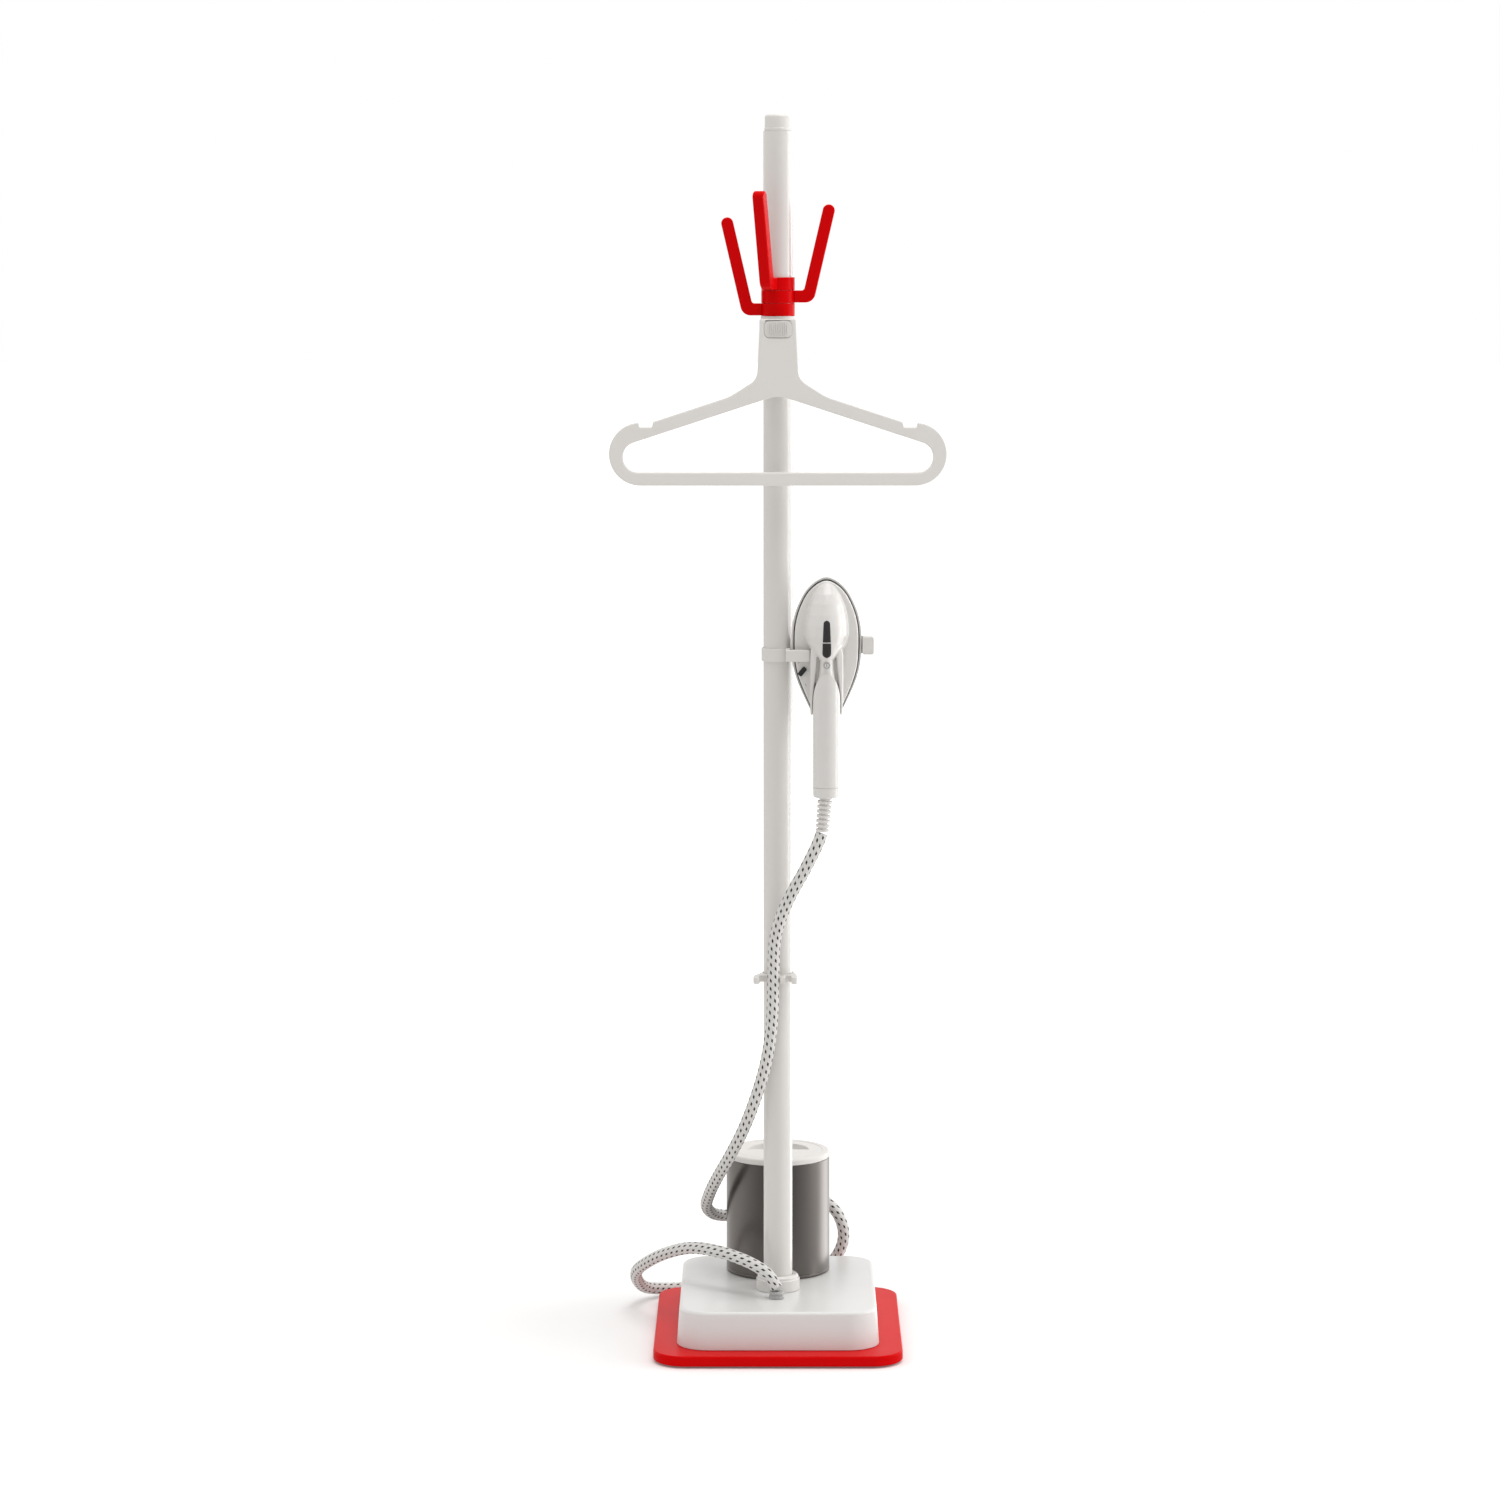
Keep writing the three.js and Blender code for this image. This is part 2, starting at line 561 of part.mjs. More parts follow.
function hangerHole() {
  const { x, z, radius } = ARM_HOLE;
  const lean = Math.atan(1 / ARM_SLOPE);
  const rise = (at) => z + radius * Math.sin(lean) + (x + radius * Math.cos(lean) - at) * ARM_SLOPE;
  const half = [];
  const right = new THREE.Path();
  right.absarc(x, z, radius, -Math.PI / 2, lean, false);
  right.lineTo(16, rise(16));
  right.quadraticCurveTo(6, rise(6) - 0.3, 0, rise(6) + 0.4);
  for (const p of right.getPoints(5)) half.push([p.x, p.y]);
  const left = half.slice(0, -1).reverse().map(([px, pz]) => [-px, pz]);
  return new THREE.Path([...half, ...left].map(([px, pz]) => new THREE.Vector2(px, pz)));
}

function addHanger() {
  const { halfWidth, bottom, top, back, proud } = BUTTON;
  const middle = (bottom + top) / 2;
  const front = HANGER.back - HANGER.thickness;
  const hole = roundedShape(0, middle, 2 * halfWidth + 1, top - bottom + 1, 6.5);
  const body = upright(hangerShape(), HANGER.back, front, { bevel: HANGER.bevel });
  place("hanger", body.subtract(upright(hole, HANGER.back + 5, front - 5)), WHITE);

  const inner = CARRIAGE.outer + GAP;
  let collar = ring(inner, inner + 2.6, 1264, CARRIAGE.flange - GAP, ON_POLE);
  const boss = box([-13, 13], [POLE.y + HANGER.back + GAP, POLE.y - 15], [1268, 1334]);
  const pocket = box([-11, 11], [POLE.y - 40, POLE.y - 27], [1314, 1340]);
  collar = collar.add(boss.subtract(pocket)).subtract(
    cylinder(inner, 1260, CARRIAGE.top, ON_POLE),
  );
  place("hanger_collar", collar, WHITE);

  const outline = roundedShape(0, middle, 2 * halfWidth, top - bottom, 6.2);
  let button = upright(outline, back, front - proud + 0.8);
  for (let x = -12; x <= 12; x += 2.4) {
    const reach = 8.4 - Math.max(0, Math.abs(x) - 10.8) * 1.4;
    button = button.add(
      box([x - 0.6, x + 0.6], [POLE.y + front - proud, POLE.y + front], [middle - reach, middle + reach]),
    );
  }
  place("release_button", button, WHITE);
  const springLength = -27 - GAP - (back + GAP);
  const spring = coil(4.5, 0.6, springLength, 3).rotate([90, 0, 0]);
  place("button_spring", spring.translate([0, POLE.y - 27 - GAP, middle]), STEEL);
}

// ---------------------------------------------------------------- water tank

function addTank() {
  const { radius, wall, bottom, floor, top } = TANK;
  const inner = radius - wall;
  const body = turned([
    [9, floor], [13, floor], [13, bottom + 2], [radius - 5, bottom + 2], [radius - 5, bottom],
    [radius - 1, bottom], [radius, bottom + 1.5], [radius, top], [inner, top], [inner, floor + wall],
    [9, floor + wall],
  ], ON_TANK);
  place("tank_body", body, TANK_GREY);

  const seat = floor + wall + GAP;
  const valve = turned([
    [0, 74], [3, 74], [3, floor - 2], [8, floor], [8, seat], [12, seat], [12, seat + 2.5], [3, seat + 2.5],
    [3, seat + 18], [0, seat + 18],
  ], { ...ON_TANK, segments: 20 });
  place("tank_valve", valve, DARK);
  const spring = coil(6, 0.7, 14, 4).translate([0, TANK.y, seat + 2.5 + GAP]);
  place("valve_spring", spring, STEEL);
}

// Half a disc, flat side to the front, for the finger recess in the lid.
function recessBlock(radius, z0, z1) {
  const shape = new THREE.Shape();
  shape.absarc(0, 0, radius, 0, Math.PI, false);
  return plate(shape, z0, z1, { curveSegments: 10 }).translate([0, TANK.y, 0]);
}

function addLid() {
  const { top, plug, recess, recessFloor } = LID;
  const seatZ = TANK.top + GAP;
  const radius = TANK.radius;
  let lid = turned([
    [0, 213], [plug, 213], [plug, seatZ], [radius, seatZ], [radius, top - 3.5],
    [radius - 1, top - 1.2], [radius - 3.4, top], [0, top],
  ], ON_TANK);
  const hollow = cylinder(plug - 2.5, 212, top - 3, ON_TANK).subtract(
    recessBlock(recess + 2.5, recessFloor - 2.5, top),
  );
  lid = lid.subtract(hollow).subtract(recessBlock(recess, recessFloor, top + 1));
  place("tank_lid", lid, WHITE);
  place("lid_seal", ring(plug + GAP, plug + 3, 215, 218.5, ON_TANK), SEAL);
}

// ---------------------------------------------------------------- handset

// Half-widths of the pointed oval soleplate at heights up the handset.
const SOLE_HALF = [
  [18, 831], [24.5, 845], [32.5, 862], [39.5, 880], [43.2, 895], [45, 912], [45.4, 930],
  [43.6, 950], [37.5, 971], [25.5, 993], [13.5, 1004], [5, 1008.4],
];

function soleShape(inset) {
  const side = SOLE_HALF.map(([w, z]) => new THREE.Vector2(w, z));
  const curve = new THREE.SplineCurve(side).getPoints(14);
  const centre = 925;
  const shrink = (p) => {
    const scale = 1 - inset / Math.hypot(p.x, p.y - centre);
    return new THREE.Vector2(p.x * scale, centre + (p.y - centre) * scale);
  };
  const right = curve.map(shrink);
  const tip = new THREE.Vector2(0, 1009 - inset);
  const left = right.slice().reverse().map((p) => new THREE.Vector2(-p.x, p.y));
  const points = [...right, tip, ...left].map((p) => new THREE.Vector2(HANDSET.x + p.x, p.y));
  return new THREE.Shape(points);
}

function ellipsoid(grow) {
  const ball = new THREE.SphereGeometry(1, 18, 12);
  ball.scale(DOME.width + grow, DOME.depth + grow, DOME.height + grow);
  return solid(ball.translate(HANDSET.x, POLE.y + HANDSET.skirtFront - 2, DOME.z));
}

function handleTube(inner, outer, z0, z1) {
  const spot = { x: HANDSET.x, y: POLE.y + HANDLE.depth, segments: 24 };
  return inner ? ring(inner, outer, z0, z1, spot) : cylinder(outer, z0, z1, spot);
}

const WINDOW = { bottom: 908, top: 956, halfBottom: 5.75, halfTop: 4 };
const POWER = { z: 898.5, radius: 4.3, seat: -55.8, room: 2 };
const LEVER = { x: 33, z: 889.5, tilt: 40 };
const TRIGGER = { halfWidth: 6, bottom: 772, top: 824 };

function windowShape(grow) {
  const { bottom, top, halfBottom, halfTop } = WINDOW;
  const shape = new THREE.Shape();
  const [low, high] = [halfBottom + grow, halfTop + grow];
  const lowZ = bottom + halfBottom;
  const highZ = top - halfTop;
  shape.absarc(HANDSET.x, lowZ, low, Math.PI, 2 * Math.PI, false);
  shape.absarc(HANDSET.x, highZ, high, 0, Math.PI, false);
  return shape;
}

function finShape(side) {
  const x = (offset) => HANDSET.x + side * offset;
  const shape = new THREE.Shape();
  const corners = [
    [20.4, 918], [14, 918], [12.8, 906], [14.8, 880], [18.1, 868], [18.3, 834], [20.4, 834],
    [20.9, 850], [20.9, 908],
  ];
  const ordered = side > 0 ? corners.slice().reverse() : corners;
  ordered.forEach(([offset, z], i) => {
    if (i === 0) shape.moveTo(x(offset), z);
    else shape.lineTo(x(offset), z);
  });
  return shape;
}

function addHandsetShells() {
  const { soleBack, soleFront, skirtFront, panelFront } = HANDSET;
  const sole = upright(soleShape(1.6), soleBack, soleFront, { bevel: 1.5 });
  const vents = [];
  for (const z of [890, 925, 960]) for (const x of [-16, 16]) vents.push([x, z]);
  let plateBody = sole;
  for (const [x, z] of [...vents, [0, 980]]) {
    const hole = cylinder(1.6, 0, 3, { segments: 6 }).rotate([90, 0, 0]);
    plateBody = plateBody.subtract(hole.translate([HANDSET.x + x, POLE.y + soleBack + 1, z]));
  }
  place("soleplate", plateBody, STEEL);

  const skirtOuter = upright(soleShape(0), soleFront - GAP, skirtFront, { bevel: 1.5 });
  const skirtHole = upright(soleShape(9), soleFront + 5, skirtFront - 5);
  place("skirt", skirtOuter.subtract(skirtHole), WHITE);
  const gasketFront = skirtFront - GAP - 1.5;
  const gasket = upright(soleShape(2.6), skirtFront - GAP, gasketFront)
    .subtract(upright(soleShape(9), soleFront, gasketFront - 5));
  place("gasket", gasket, RUBBER);

  const base = gasketFront - GAP;
  const panel = upright(soleShape(4), base, panelFront, { bevel: 1 });
  const inside = upright(soleShape(9), base + 5, panelFront + 2);
  const within = upright(soleShape(5), base, -80);
  const dome = ellipsoid(0).intersect(within);
  const web = [HANDSET.x - NECK.radius, HANDSET.x + NECK.radius];
  const neck = handleTube(0, NECK.radius, HANDLE.top, NECK.top)
    .add(box(web, [POLE.y + HANDLE.depth, POLE.y + base], [872, 915]));
  let housing = panel.add(dome).add(neck);
  for (const side of [-1, 1])
    housing = housing.add(upright(finShape(side), base - 1, -54));
  const hollow = ellipsoid(-DOME.wall).intersect(upright(soleShape(9), 0, -80));
  housing = housing.subtract(hollow).subtract(inside);
  housing = housing.subtract(upright(windowShape(GAP), -30, -80).subtract(ellipsoid(-1.5)));
  // Room for the cradle's finger, beside the left fin, all the way down as the handset lifts.
  housing = housing.subtract(box([5, 41.4], [POLE.y - 75, POLE.y - 37.1], [820, 917]));
  const powerBore = cylinder(POWER.radius + GAP, 0, 30, { segments: 20 }).rotate([90, 0, 0])
    .translate([HANDSET.x, POLE.y + POWER.seat + POWER.room, POWER.z]);
  const leverBore = cylinder(2.3, 0, 20, { segments: 12 }).rotate([90, 0, 0])
    .translate([LEVER.x, POLE.y + HANDSET.skirtFront + 5, LEVER.z]);
  housing = housing.subtract(powerBore).subtract(leverBore);
  place("upper_housing", housing, WHITE);

  const pane = ellipsoid(0.4).intersect(upright(windowShape(0), -30, -80)).subtract(ellipsoid(-1.2));
  place("indicator_window", pane, DARK);

  const block = box([HANDSET.x - 16, HANDSET.x + 16], [POLE.y - 42, POLE.y - 22], [925, 962])
    .add(cylinder(6, 900, 926, { x: HANDSET.x, y: POLE.y - 33, segments: 14 }));
  place("steam_block", block, ALUMINIUM);
}

function addHandle() {
  const { radius, wall, top, seam, bottom, depth } = HANDLE;
  const centreY = POLE.y + depth;
  const shell = handleTube(radius - wall, radius, seam + GAP, top - GAP);
  const cut = (from, to) => box([20, 110], [centreY + from, centreY + to], [700, 900]);
  place("handle_front", shell.intersect(cut(-30, -GAP / 2)), WHITE);
  const slot = box(
    [HANDSET.x - TRIGGER.halfWidth - 0.6, HANDSET.x + TRIGGER.halfWidth + 0.6],
    [centreY + 2, centreY + 30],
    [TRIGGER.bottom - 1.5, TRIGGER.top + 1.5],
  );
  place("handle_rear", shell.intersect(cut(GAP / 2, 30)).subtract(slot), WHITE);

  const spot = { x: HANDSET.x, y: centreY, segments: 24 };
  const cap = turned([
    [12.2, bottom], [radius - 2.5, bottom], [radius - 0.6, bottom + 1.4], [radius, bottom + 4],
    [radius, seam], [12.2, seam],
  ], spot);
  place("handle_cap", cap, WHITE);

  const boot = new THREE.Vector3(57 - HANDSET.x, 0, 682 - (seam + 4));
  const length = boot.length();
  const profile = [[4.2, 0], [10, 0]];
  const first = seam + 4 - bottom + 2;
  for (let s = first; s + 4 < length; s += 6.2) {
    const r = 10 - (1.4 * s) / length;
    profile.push([r, s], [r - 1.6, s + 0.4], [r - 1.6, s + 2.4], [r, s + 2.8]);
  }
  profile.push([8.6, length], [4.2, length]);
  const lean = (Math.atan2(-boot.x, -boot.z) * 180) / Math.PI;
  const made = turned(profile, { segments: 12 })
    .rotate([180, 0, 0]).rotate([0, lean, 0])
    .translate([HANDSET.x, centreY, seam + 4]);
  place("hose_boot", made, WHITE);
}

function addHandsetControls() {
  const button = turned([
    [0, 0], [POWER.radius, 0], [POWER.radius, 9], [POWER.radius - 0.7, 9.6], [0, 9.6],
  ], { segments: 20 }).rotate([90, 0, 0]);
  place("power_button", button.translate([HANDSET.x, POLE.y + POWER.seat, POWER.z]), WHITE);

  const paddle = roundedRectangle(5, 13, 2, 0, -2.5);
  const lever = plate(paddle, 0, 3).rotate([0, 0, -LEVER.tilt]).rotate([90, 0, 0])
    .add(cylinder(2, -6, 1, { segments: 12 }).rotate([90, 0, 0]));
  const seat = POLE.y + HANDSET.panelFront - GAP;
  place("steam_lever", lever.translate([LEVER.x, seat, LEVER.z]), DARK);

  const { halfWidth, bottom, top } = TRIGGER;
  const back = POLE.y + HANDLE.depth + HANDLE.radius;
  const trigger = box(
    [HANDSET.x - halfWidth, HANDSET.x + halfWidth], [back - 8, back + 3.5], [bottom, top],
  );
  place("steam_trigger", trigger, WHITE);
}

// ---------------------------------------------------------------- assembly

addTrayAndFeet();
addCover();
addGland();
addConnector();
addBaseInside();
addPole();
addHoseGuide();
addCradle();
addCarriage();
addHooks();
addHanger();
addTank();
addLid();
addHandsetShells();
addHandle();
addHandsetControls();
place("steam_hose", tube(HOSE_ROUTE, HOSE_RADIUS, { steps: 60, sides: 8 }), BRAID);

export default root;
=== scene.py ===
"""Looks of the garment steamer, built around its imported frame.

Shapes are written in millimetres in the row frame (+X right, +Y away, +Z up, floor at z = 0)
and turned into metres by `piece`. Depths of the handset, the cradle and the hose guide are
measured from the pole's axis, as `row_y` says.
"""

import math
from types import SimpleNamespace as Sizes

import bmesh
import bpy
import numpy as np
from mathutils import Matrix, Vector
from mathutils.bvhtree import BVHTree
from mathutils.geometry import tessellate_polygon


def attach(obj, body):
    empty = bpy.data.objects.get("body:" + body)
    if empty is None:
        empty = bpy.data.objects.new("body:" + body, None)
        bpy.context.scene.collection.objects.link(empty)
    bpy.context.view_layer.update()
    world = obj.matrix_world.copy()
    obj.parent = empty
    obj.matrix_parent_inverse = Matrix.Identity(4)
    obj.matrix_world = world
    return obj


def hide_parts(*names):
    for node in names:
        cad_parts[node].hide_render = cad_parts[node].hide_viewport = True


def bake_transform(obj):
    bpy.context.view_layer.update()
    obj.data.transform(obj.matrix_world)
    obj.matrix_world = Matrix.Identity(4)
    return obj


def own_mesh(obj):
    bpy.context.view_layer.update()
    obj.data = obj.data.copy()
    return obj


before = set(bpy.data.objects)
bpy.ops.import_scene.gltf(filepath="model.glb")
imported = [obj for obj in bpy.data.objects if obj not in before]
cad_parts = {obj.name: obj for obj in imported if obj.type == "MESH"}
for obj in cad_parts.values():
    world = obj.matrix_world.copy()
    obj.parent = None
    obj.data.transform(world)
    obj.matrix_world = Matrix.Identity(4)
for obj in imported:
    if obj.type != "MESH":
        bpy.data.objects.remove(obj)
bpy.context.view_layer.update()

MM = 0.001
POLE_Y = -26.0
POLE_RADIUS = 19.0
GAP = 0.3
SMOOTH_ANGLE = 32
ROUND = 96  # segments of a full turn


def row_y(depth):
    return POLE_Y + depth


# ---------------------------------------------------------------- outlines and profiles


def arc(centre, radius, start, end, steps):
    """Points on an arc, with its angles in degrees."""
    made = []
    for k in range(steps + 1):
        angle = math.radians(start + (end - start) * k / steps)
        made.append((centre[0] + radius * math.cos(angle), centre[1] + radius * math.sin(angle)))
    return made


def fillet(points, closed=True, steps=5):
    """Corners (u, v) or (u, v, radius): each stated radius becomes an arc."""
    made = []
    count = len(points)
    for i, point in enumerate(points):
        corner = Vector(point[:2])
        radius = point[2] if len(point) > 2 else 0
        if not radius or (not closed and i in (0, count - 1)):
            made.append(tuple(corner))
            continue
        back = Vector(points[i - 1][:2]) - corner
        ahead = Vector(points[(i + 1) % count][:2]) - corner
        half = back.angle(ahead) / 2
        reach = min(radius / math.tan(half), 0.49 * back.length, 0.49 * ahead.length)
        radius = reach * math.tan(half)
        back.normalize()
        ahead.normalize()
        centre = corner + (back + ahead).normalized() * (radius / math.sin(half))
        first = corner + back * reach - centre
        last = corner + ahead * reach - centre
        start = math.atan2(first.y, first.x)
        turn = math.atan2(last.y, last.x) - start
        turn = (turn + math.pi) % (2 * math.pi) - math.pi
        for k in range(steps + 1):
            angle = start + turn * k / steps
            made.append((centre.x + radius * math.cos(angle), centre.y + radius * math.sin(angle)))
    return made


def rounded_rectangle(width, height, corner, x=0.0, y=0.0, steps=8):
    u, v = width / 2, height / 2
    corners = [(x - u, y - v), (x + u, y - v), (x + u, y + v), (x - u, y + v)]
    return fillet([(*c, corner) for c in corners], steps=steps)


def area(loop):
    total = 0.0
    for (x0, y0), (x1, y1) in zip(loop, loop[1:] + loop[:1]):
        total += x0 * y1 - x1 * y0
    return total / 2


def inset_loop(loop, distance):
    """The loop moved towards its left-hand side, which is the material's side."""
    count = len(loop)
    made = []
    for i in range(count):
        before, here, after = (Vector(loop[j % count]) for j in (i - 1, i, i + 1))
        first, second = (here - before).normalized(), (after - here).normalized()
        normal = Vector((-first.y - second.y, first.x + second.x)).normalized()
        share = max(0.35, normal.dot(Vector((-first.y, first.x))))
        made.append(tuple(here + normal * distance / share))
    return made


# ---------------------------------------------------------------- solids


def piece(name, verts, faces):
    """A closed mesh, in metres, from points in millimetres."""
    mesh = bpy.data.meshes.new(name)
    mesh.from_pydata([tuple(c * MM for c in v) for v in verts], [], faces)
    work = bmesh.new()
    work.from_mesh(mesh)
    bmesh.ops.remove_doubles(work, verts=work.verts, dist=1e-6)
    bmesh.ops.dissolve_degenerate(work, edges=work.edges, dist=1e-7)
    bmesh.ops.recalc_face_normals(work, faces=work.faces)
    work.to_mesh(mesh)
    work.free()
    obj = bpy.data.objects.new(name, mesh)
    bpy.context.scene.collection.objects.link(obj)
    return obj


def lathe(name, profile, x=0.0, y=POLE_Y, segments=ROUND):
    """A solid turned about a vertical axis, from (radius, z) corners with optional fillets.

    A profile that starts on the axis also ends there, and isn't joined up along it.
    """
    closed = profile[0][0] > 0
    points = fillet(profile, closed)
    count = len(points)
    verts, faces = [], []
    for s in range(segments):
        angle = 2 * math.pi * s / segments
        for r, z in points:
            verts.append((x + r * math.cos(angle), y + r * math.sin(angle), z))
    for s in range(segments):
        here, there = s * count, ((s + 1) % segments) * count
        for i in range(count if closed else count - 1):
            j = (i + 1) % count
            faces.append((here + i, there + i, there + j, here + j))
    return piece(name, verts, faces)


def rod(radius, low, high, x=0.0, y=POLE_Y, segments=ROUND):
    """A plain round rod about a vertical axis, to cut a hole with."""
    return lathe("rod", [(0, low), (radius, low), (radius, high), (0, high)], x, y, segments)


def loft(name, rings):
    """A solid through rings with equal counts of points, capped at both ends."""
    count = len(rings[0])
    verts = [p for ring in rings for p in ring]
    faces = []
    for here in range(0, len(verts) - count, count):
        for i in range(count):
            j = (i + 1) % count
            faces.append((here + i, here + j, here + count + j, here + count + i))
    faces.append(tuple(range(count)))
    faces.append(tuple(range(len(verts) - count, len(verts))))
    return piece(name, verts, faces)


def edge_levels(low, high, bevel, steps=4):
    """(level, inset) pairs of a plate whose two edges are rounded."""
    made = []
    for k in range(steps + 1):
        angle = math.pi / 2 * k / steps
        made.append((bevel * (1 - math.cos(angle)), bevel * (1 - math.sin(angle))))
    return [(low + d, i) for d, i in made] + [(high - d, i) for d, i in reversed(made)]


def slab(name, loops, low, high, bevel=0.0, upright=True):
    """A plate with rounded edges. loops[0] is its outline and the others are holes.

    An upright plate is drawn in X and Z and runs from Y = low to high; otherwise it is drawn
    in X and Y and runs from Z = low to high.
    """
    turned = []
    for i, loop in enumerate(loops):
        backwards = (area(loop) < 0) == (i == 0)
        turned.append(list(reversed(loop)) if backwards else list(loop))
    levels = edge_levels(low, high, bevel) if bevel else [(low, 0), (high, 0)]
    verts, faces, caps = [], [], {0: [], len(levels) - 1: []}
    order = {0: [], len(levels) - 1: []}
    for loop in turned:
        count = len(loop)
        start = len(verts)
        for k, (level, inset) in enumerate(levels):
            ring = inset_loop(loop, inset) if inset else loop
            if k in caps:
                caps[k].append([Vector((u, v, 0)) for u, v in ring])
                order[k] += range(start + k * count, start + (k + 1) * count)
            verts += [(u, level, v) if upright else (u, v, level) for u, v in ring]
        for k in range(len(levels) - 1):
            for i in range(count):
                j = (i + 1) % count
                here = start + k * count
                faces.append((here + i, here + j, here + count + j, here + count + i))
    for k, rings in caps.items():
        for triangle in tessellate_polygon(rings):
            faces.append(tuple(order[k][i] for i in triangle))
    return piece(name, verts, faces)


def block(name, x, y, z, bevel=0.8):
    """A brick with rounded edges between (low, high) pairs."""
    corner = min(bevel * 1.5, 0.45 * (x[1] - x[0]), 0.45 * (z[1] - z[0]))
    outline = rounded_rectangle(
        x[1] - x[0], z[1] - z[0], corner, (x[0] + x[1]) / 2, (z[0] + z[1]) / 2, steps=4
    )
    return slab(name, [outline], y[0], y[1], bevel)


def baked(obj):
    """Applies the object's modifiers to its mesh."""
    view = bpy.context.evaluated_depsgraph_get()
    made = bpy.data.meshes.new_from_object(obj.evaluated_get(view))
    obj.modifiers.clear()
    obj.data = made
    return obj


def combine(obj, operation, *tools):
    """Joins ("UNION") or cuts ("DIFFERENCE") with other solids, which go away."""
    for tool in tools:
        modifier = obj.modifiers.new("combine", "BOOLEAN")
        modifier.operation = operation
        modifier.solver = "MANIFOLD"
        modifier.object = tool
        baked(obj)
        bpy.data.objects.remove(tool)
    return obj


def fused(obj, voxel, rounds):
    """Melts overlapping solids into one skin with soft inside and outside corners."""
    modifier = obj.modifiers.new("fuse", "REMESH")
    modifier.mode = "VOXEL"
    modifier.voxel_size = voxel * MM
    soft = obj.modifiers.new("soften", "SMOOTH")
    soft.factor = 0.5
    soft.iterations = rounds
    return baked(obj)


def joined(obj, *others):
    """One object that holds all these meshes, overlapping or apart."""
    work = bmesh.new()
    for part in (obj, *others):
        work.from_mesh(part.data)
    work.to_mesh(obj.data)
    work.free()
    for part in others:
        bpy.data.objects.remove(part)
    return obj


def moved(obj, matrix):
    obj.data.transform(matrix)
    return obj


def at(x, y, z):
    """Carries a piece made at the origin to this place, in millimetres."""
    return Matrix.Translation((x * MM, y * MM, z * MM))


def lying():
    """Turns a piece that stands on Z so that it points away along Y."""
    return Matrix.Rotation(math.radians(-90), 4, "X")


def facing(x, depth, z):
    """Turns a piece that stands on Z so that it points at the viewer from that place."""
    return at(x, row_y(depth), z) @ Matrix.Rotation(math.radians(90), 4, "X")


def finished(obj, body, material, slot, *nodes):
    """Shading, material, body and the CAD nodes that the piece stands for; the slot is not used."""
    obj.data.materials.clear()
    obj.data.materials.append(material)
    obj.data.shade_smooth()
    obj.data.set_sharp_from_angle(angle=math.radians(SMOOTH_ANGLE))
    weighted = obj.modifiers.new("weighted", "WEIGHTED_NORMAL")
    weighted.keep_sharp = True
    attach(obj, body)
    if nodes:
        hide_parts(*nodes)
    return obj


# ---------------------------------------------------------------- materials


class Nodes:
    """A small node-tree writer for a new material or world."""

    def __init__(self, owner):
        owner.use_nodes = True
        self.owner = owner
        self.tree = owner.node_tree
        places = self.add("ShaderNodeTexCoord").outputs
        self.place, self.direction, self.uv = places["Object"], places["Generated"], places["UV"]

    @property
    def shader(self):
        return self.tree.nodes["Principled BSDF"].inputs

    def add(self, kind, **settings):
        node = self.tree.nodes.new(kind)
        for key, value in settings.items():
            setattr(node, key, value)
        return node

    def feed(self, socket, value):
        if isinstance(value, bpy.types.NodeSocket):
            self.tree.links.new(value, socket)
        else:
            socket.default_value = value

    def fed(self, node, *values, first=0):
        """Feeds a node's inputs in order, from the `first` one."""
        for socket, value in zip(node.inputs[first:], values):
            self.feed(socket, value)
        return node

    def math(self, operation, a, b=0.0):
        return self.fed(self.add("ShaderNodeMath", operation=operation), a, b).outputs[0]

    def split(self, vector):
        return self.fed(self.add("ShaderNodeSeparateXYZ"), vector).outputs

    def noise(self, scale, detail=3.0, stretch=(1, 1, 1)):
        mapping = self.add("ShaderNodeMapping")
        self.feed(mapping.inputs["Vector"], self.place)
        mapping.inputs["Scale"].default_value = stretch
        node = self.add("ShaderNodeTexNoise")
        self.feed(node.inputs["Vector"], mapping.outputs[0])
        node.inputs["Scale"].default_value = scale
        node.inputs["Detail"].default_value = detail
        return node.outputs["Fac"]

    def ramp(self, value, low, high, start, end, **settings):
        """Runs from `start` to `end` as the value goes from `low` to `high`."""
        node = self.add("ShaderNodeMapRange", **settings)
        return self.fed(node, value, low, high, start, end).outputs[0]

    def between(self, share, low, high):
        """Spreads a noise's usual values over the range."""
        return self.ramp(share, 0.3, 0.7, low, high)

    def mix(self, share, first, second):
        node = self.fed(self.add("ShaderNodeMix", data_type="RGBA"), share)
        return self.fed(node, first, second, first=6).outputs[2]

    def bump(self, height, distance):
        node = self.add("ShaderNodeBump")
        self.feed(node.inputs["Height"], height)
        node.inputs["Distance"].default_value = distance
        self.feed(self.shader["Normal"], node.outputs[0])

    def any_ray(self, *kinds):
        """1 for rays of any of these kinds."""
        path = self.add("ShaderNodeLightPath").outputs
        total = path[kinds[0]]
        for kind in kinds[1:]:
            total = self.math("MAXIMUM", total, path[kind])
        return total

    def towards_window(self, direction):
        """How nearly a direction points at the bright window, behind the object on its right."""
        match = self.add("ShaderNodeVectorMath", operation="DOT_PRODUCT")
        return self.fed(match, direction, WINDOW_DIRECTION).outputs["Value"]


def new_material(name):
    return Nodes(bpy.data.materials.new(name))


COLOUR_PATCH = 16.0  # noise scales of the slow drifts of colour and of gloss
GLOSS_PATCH = 16.0 * 2.3


def shade(colour, factor):
    return (*(min(1.0, c * factor) for c in colour), 1.0)


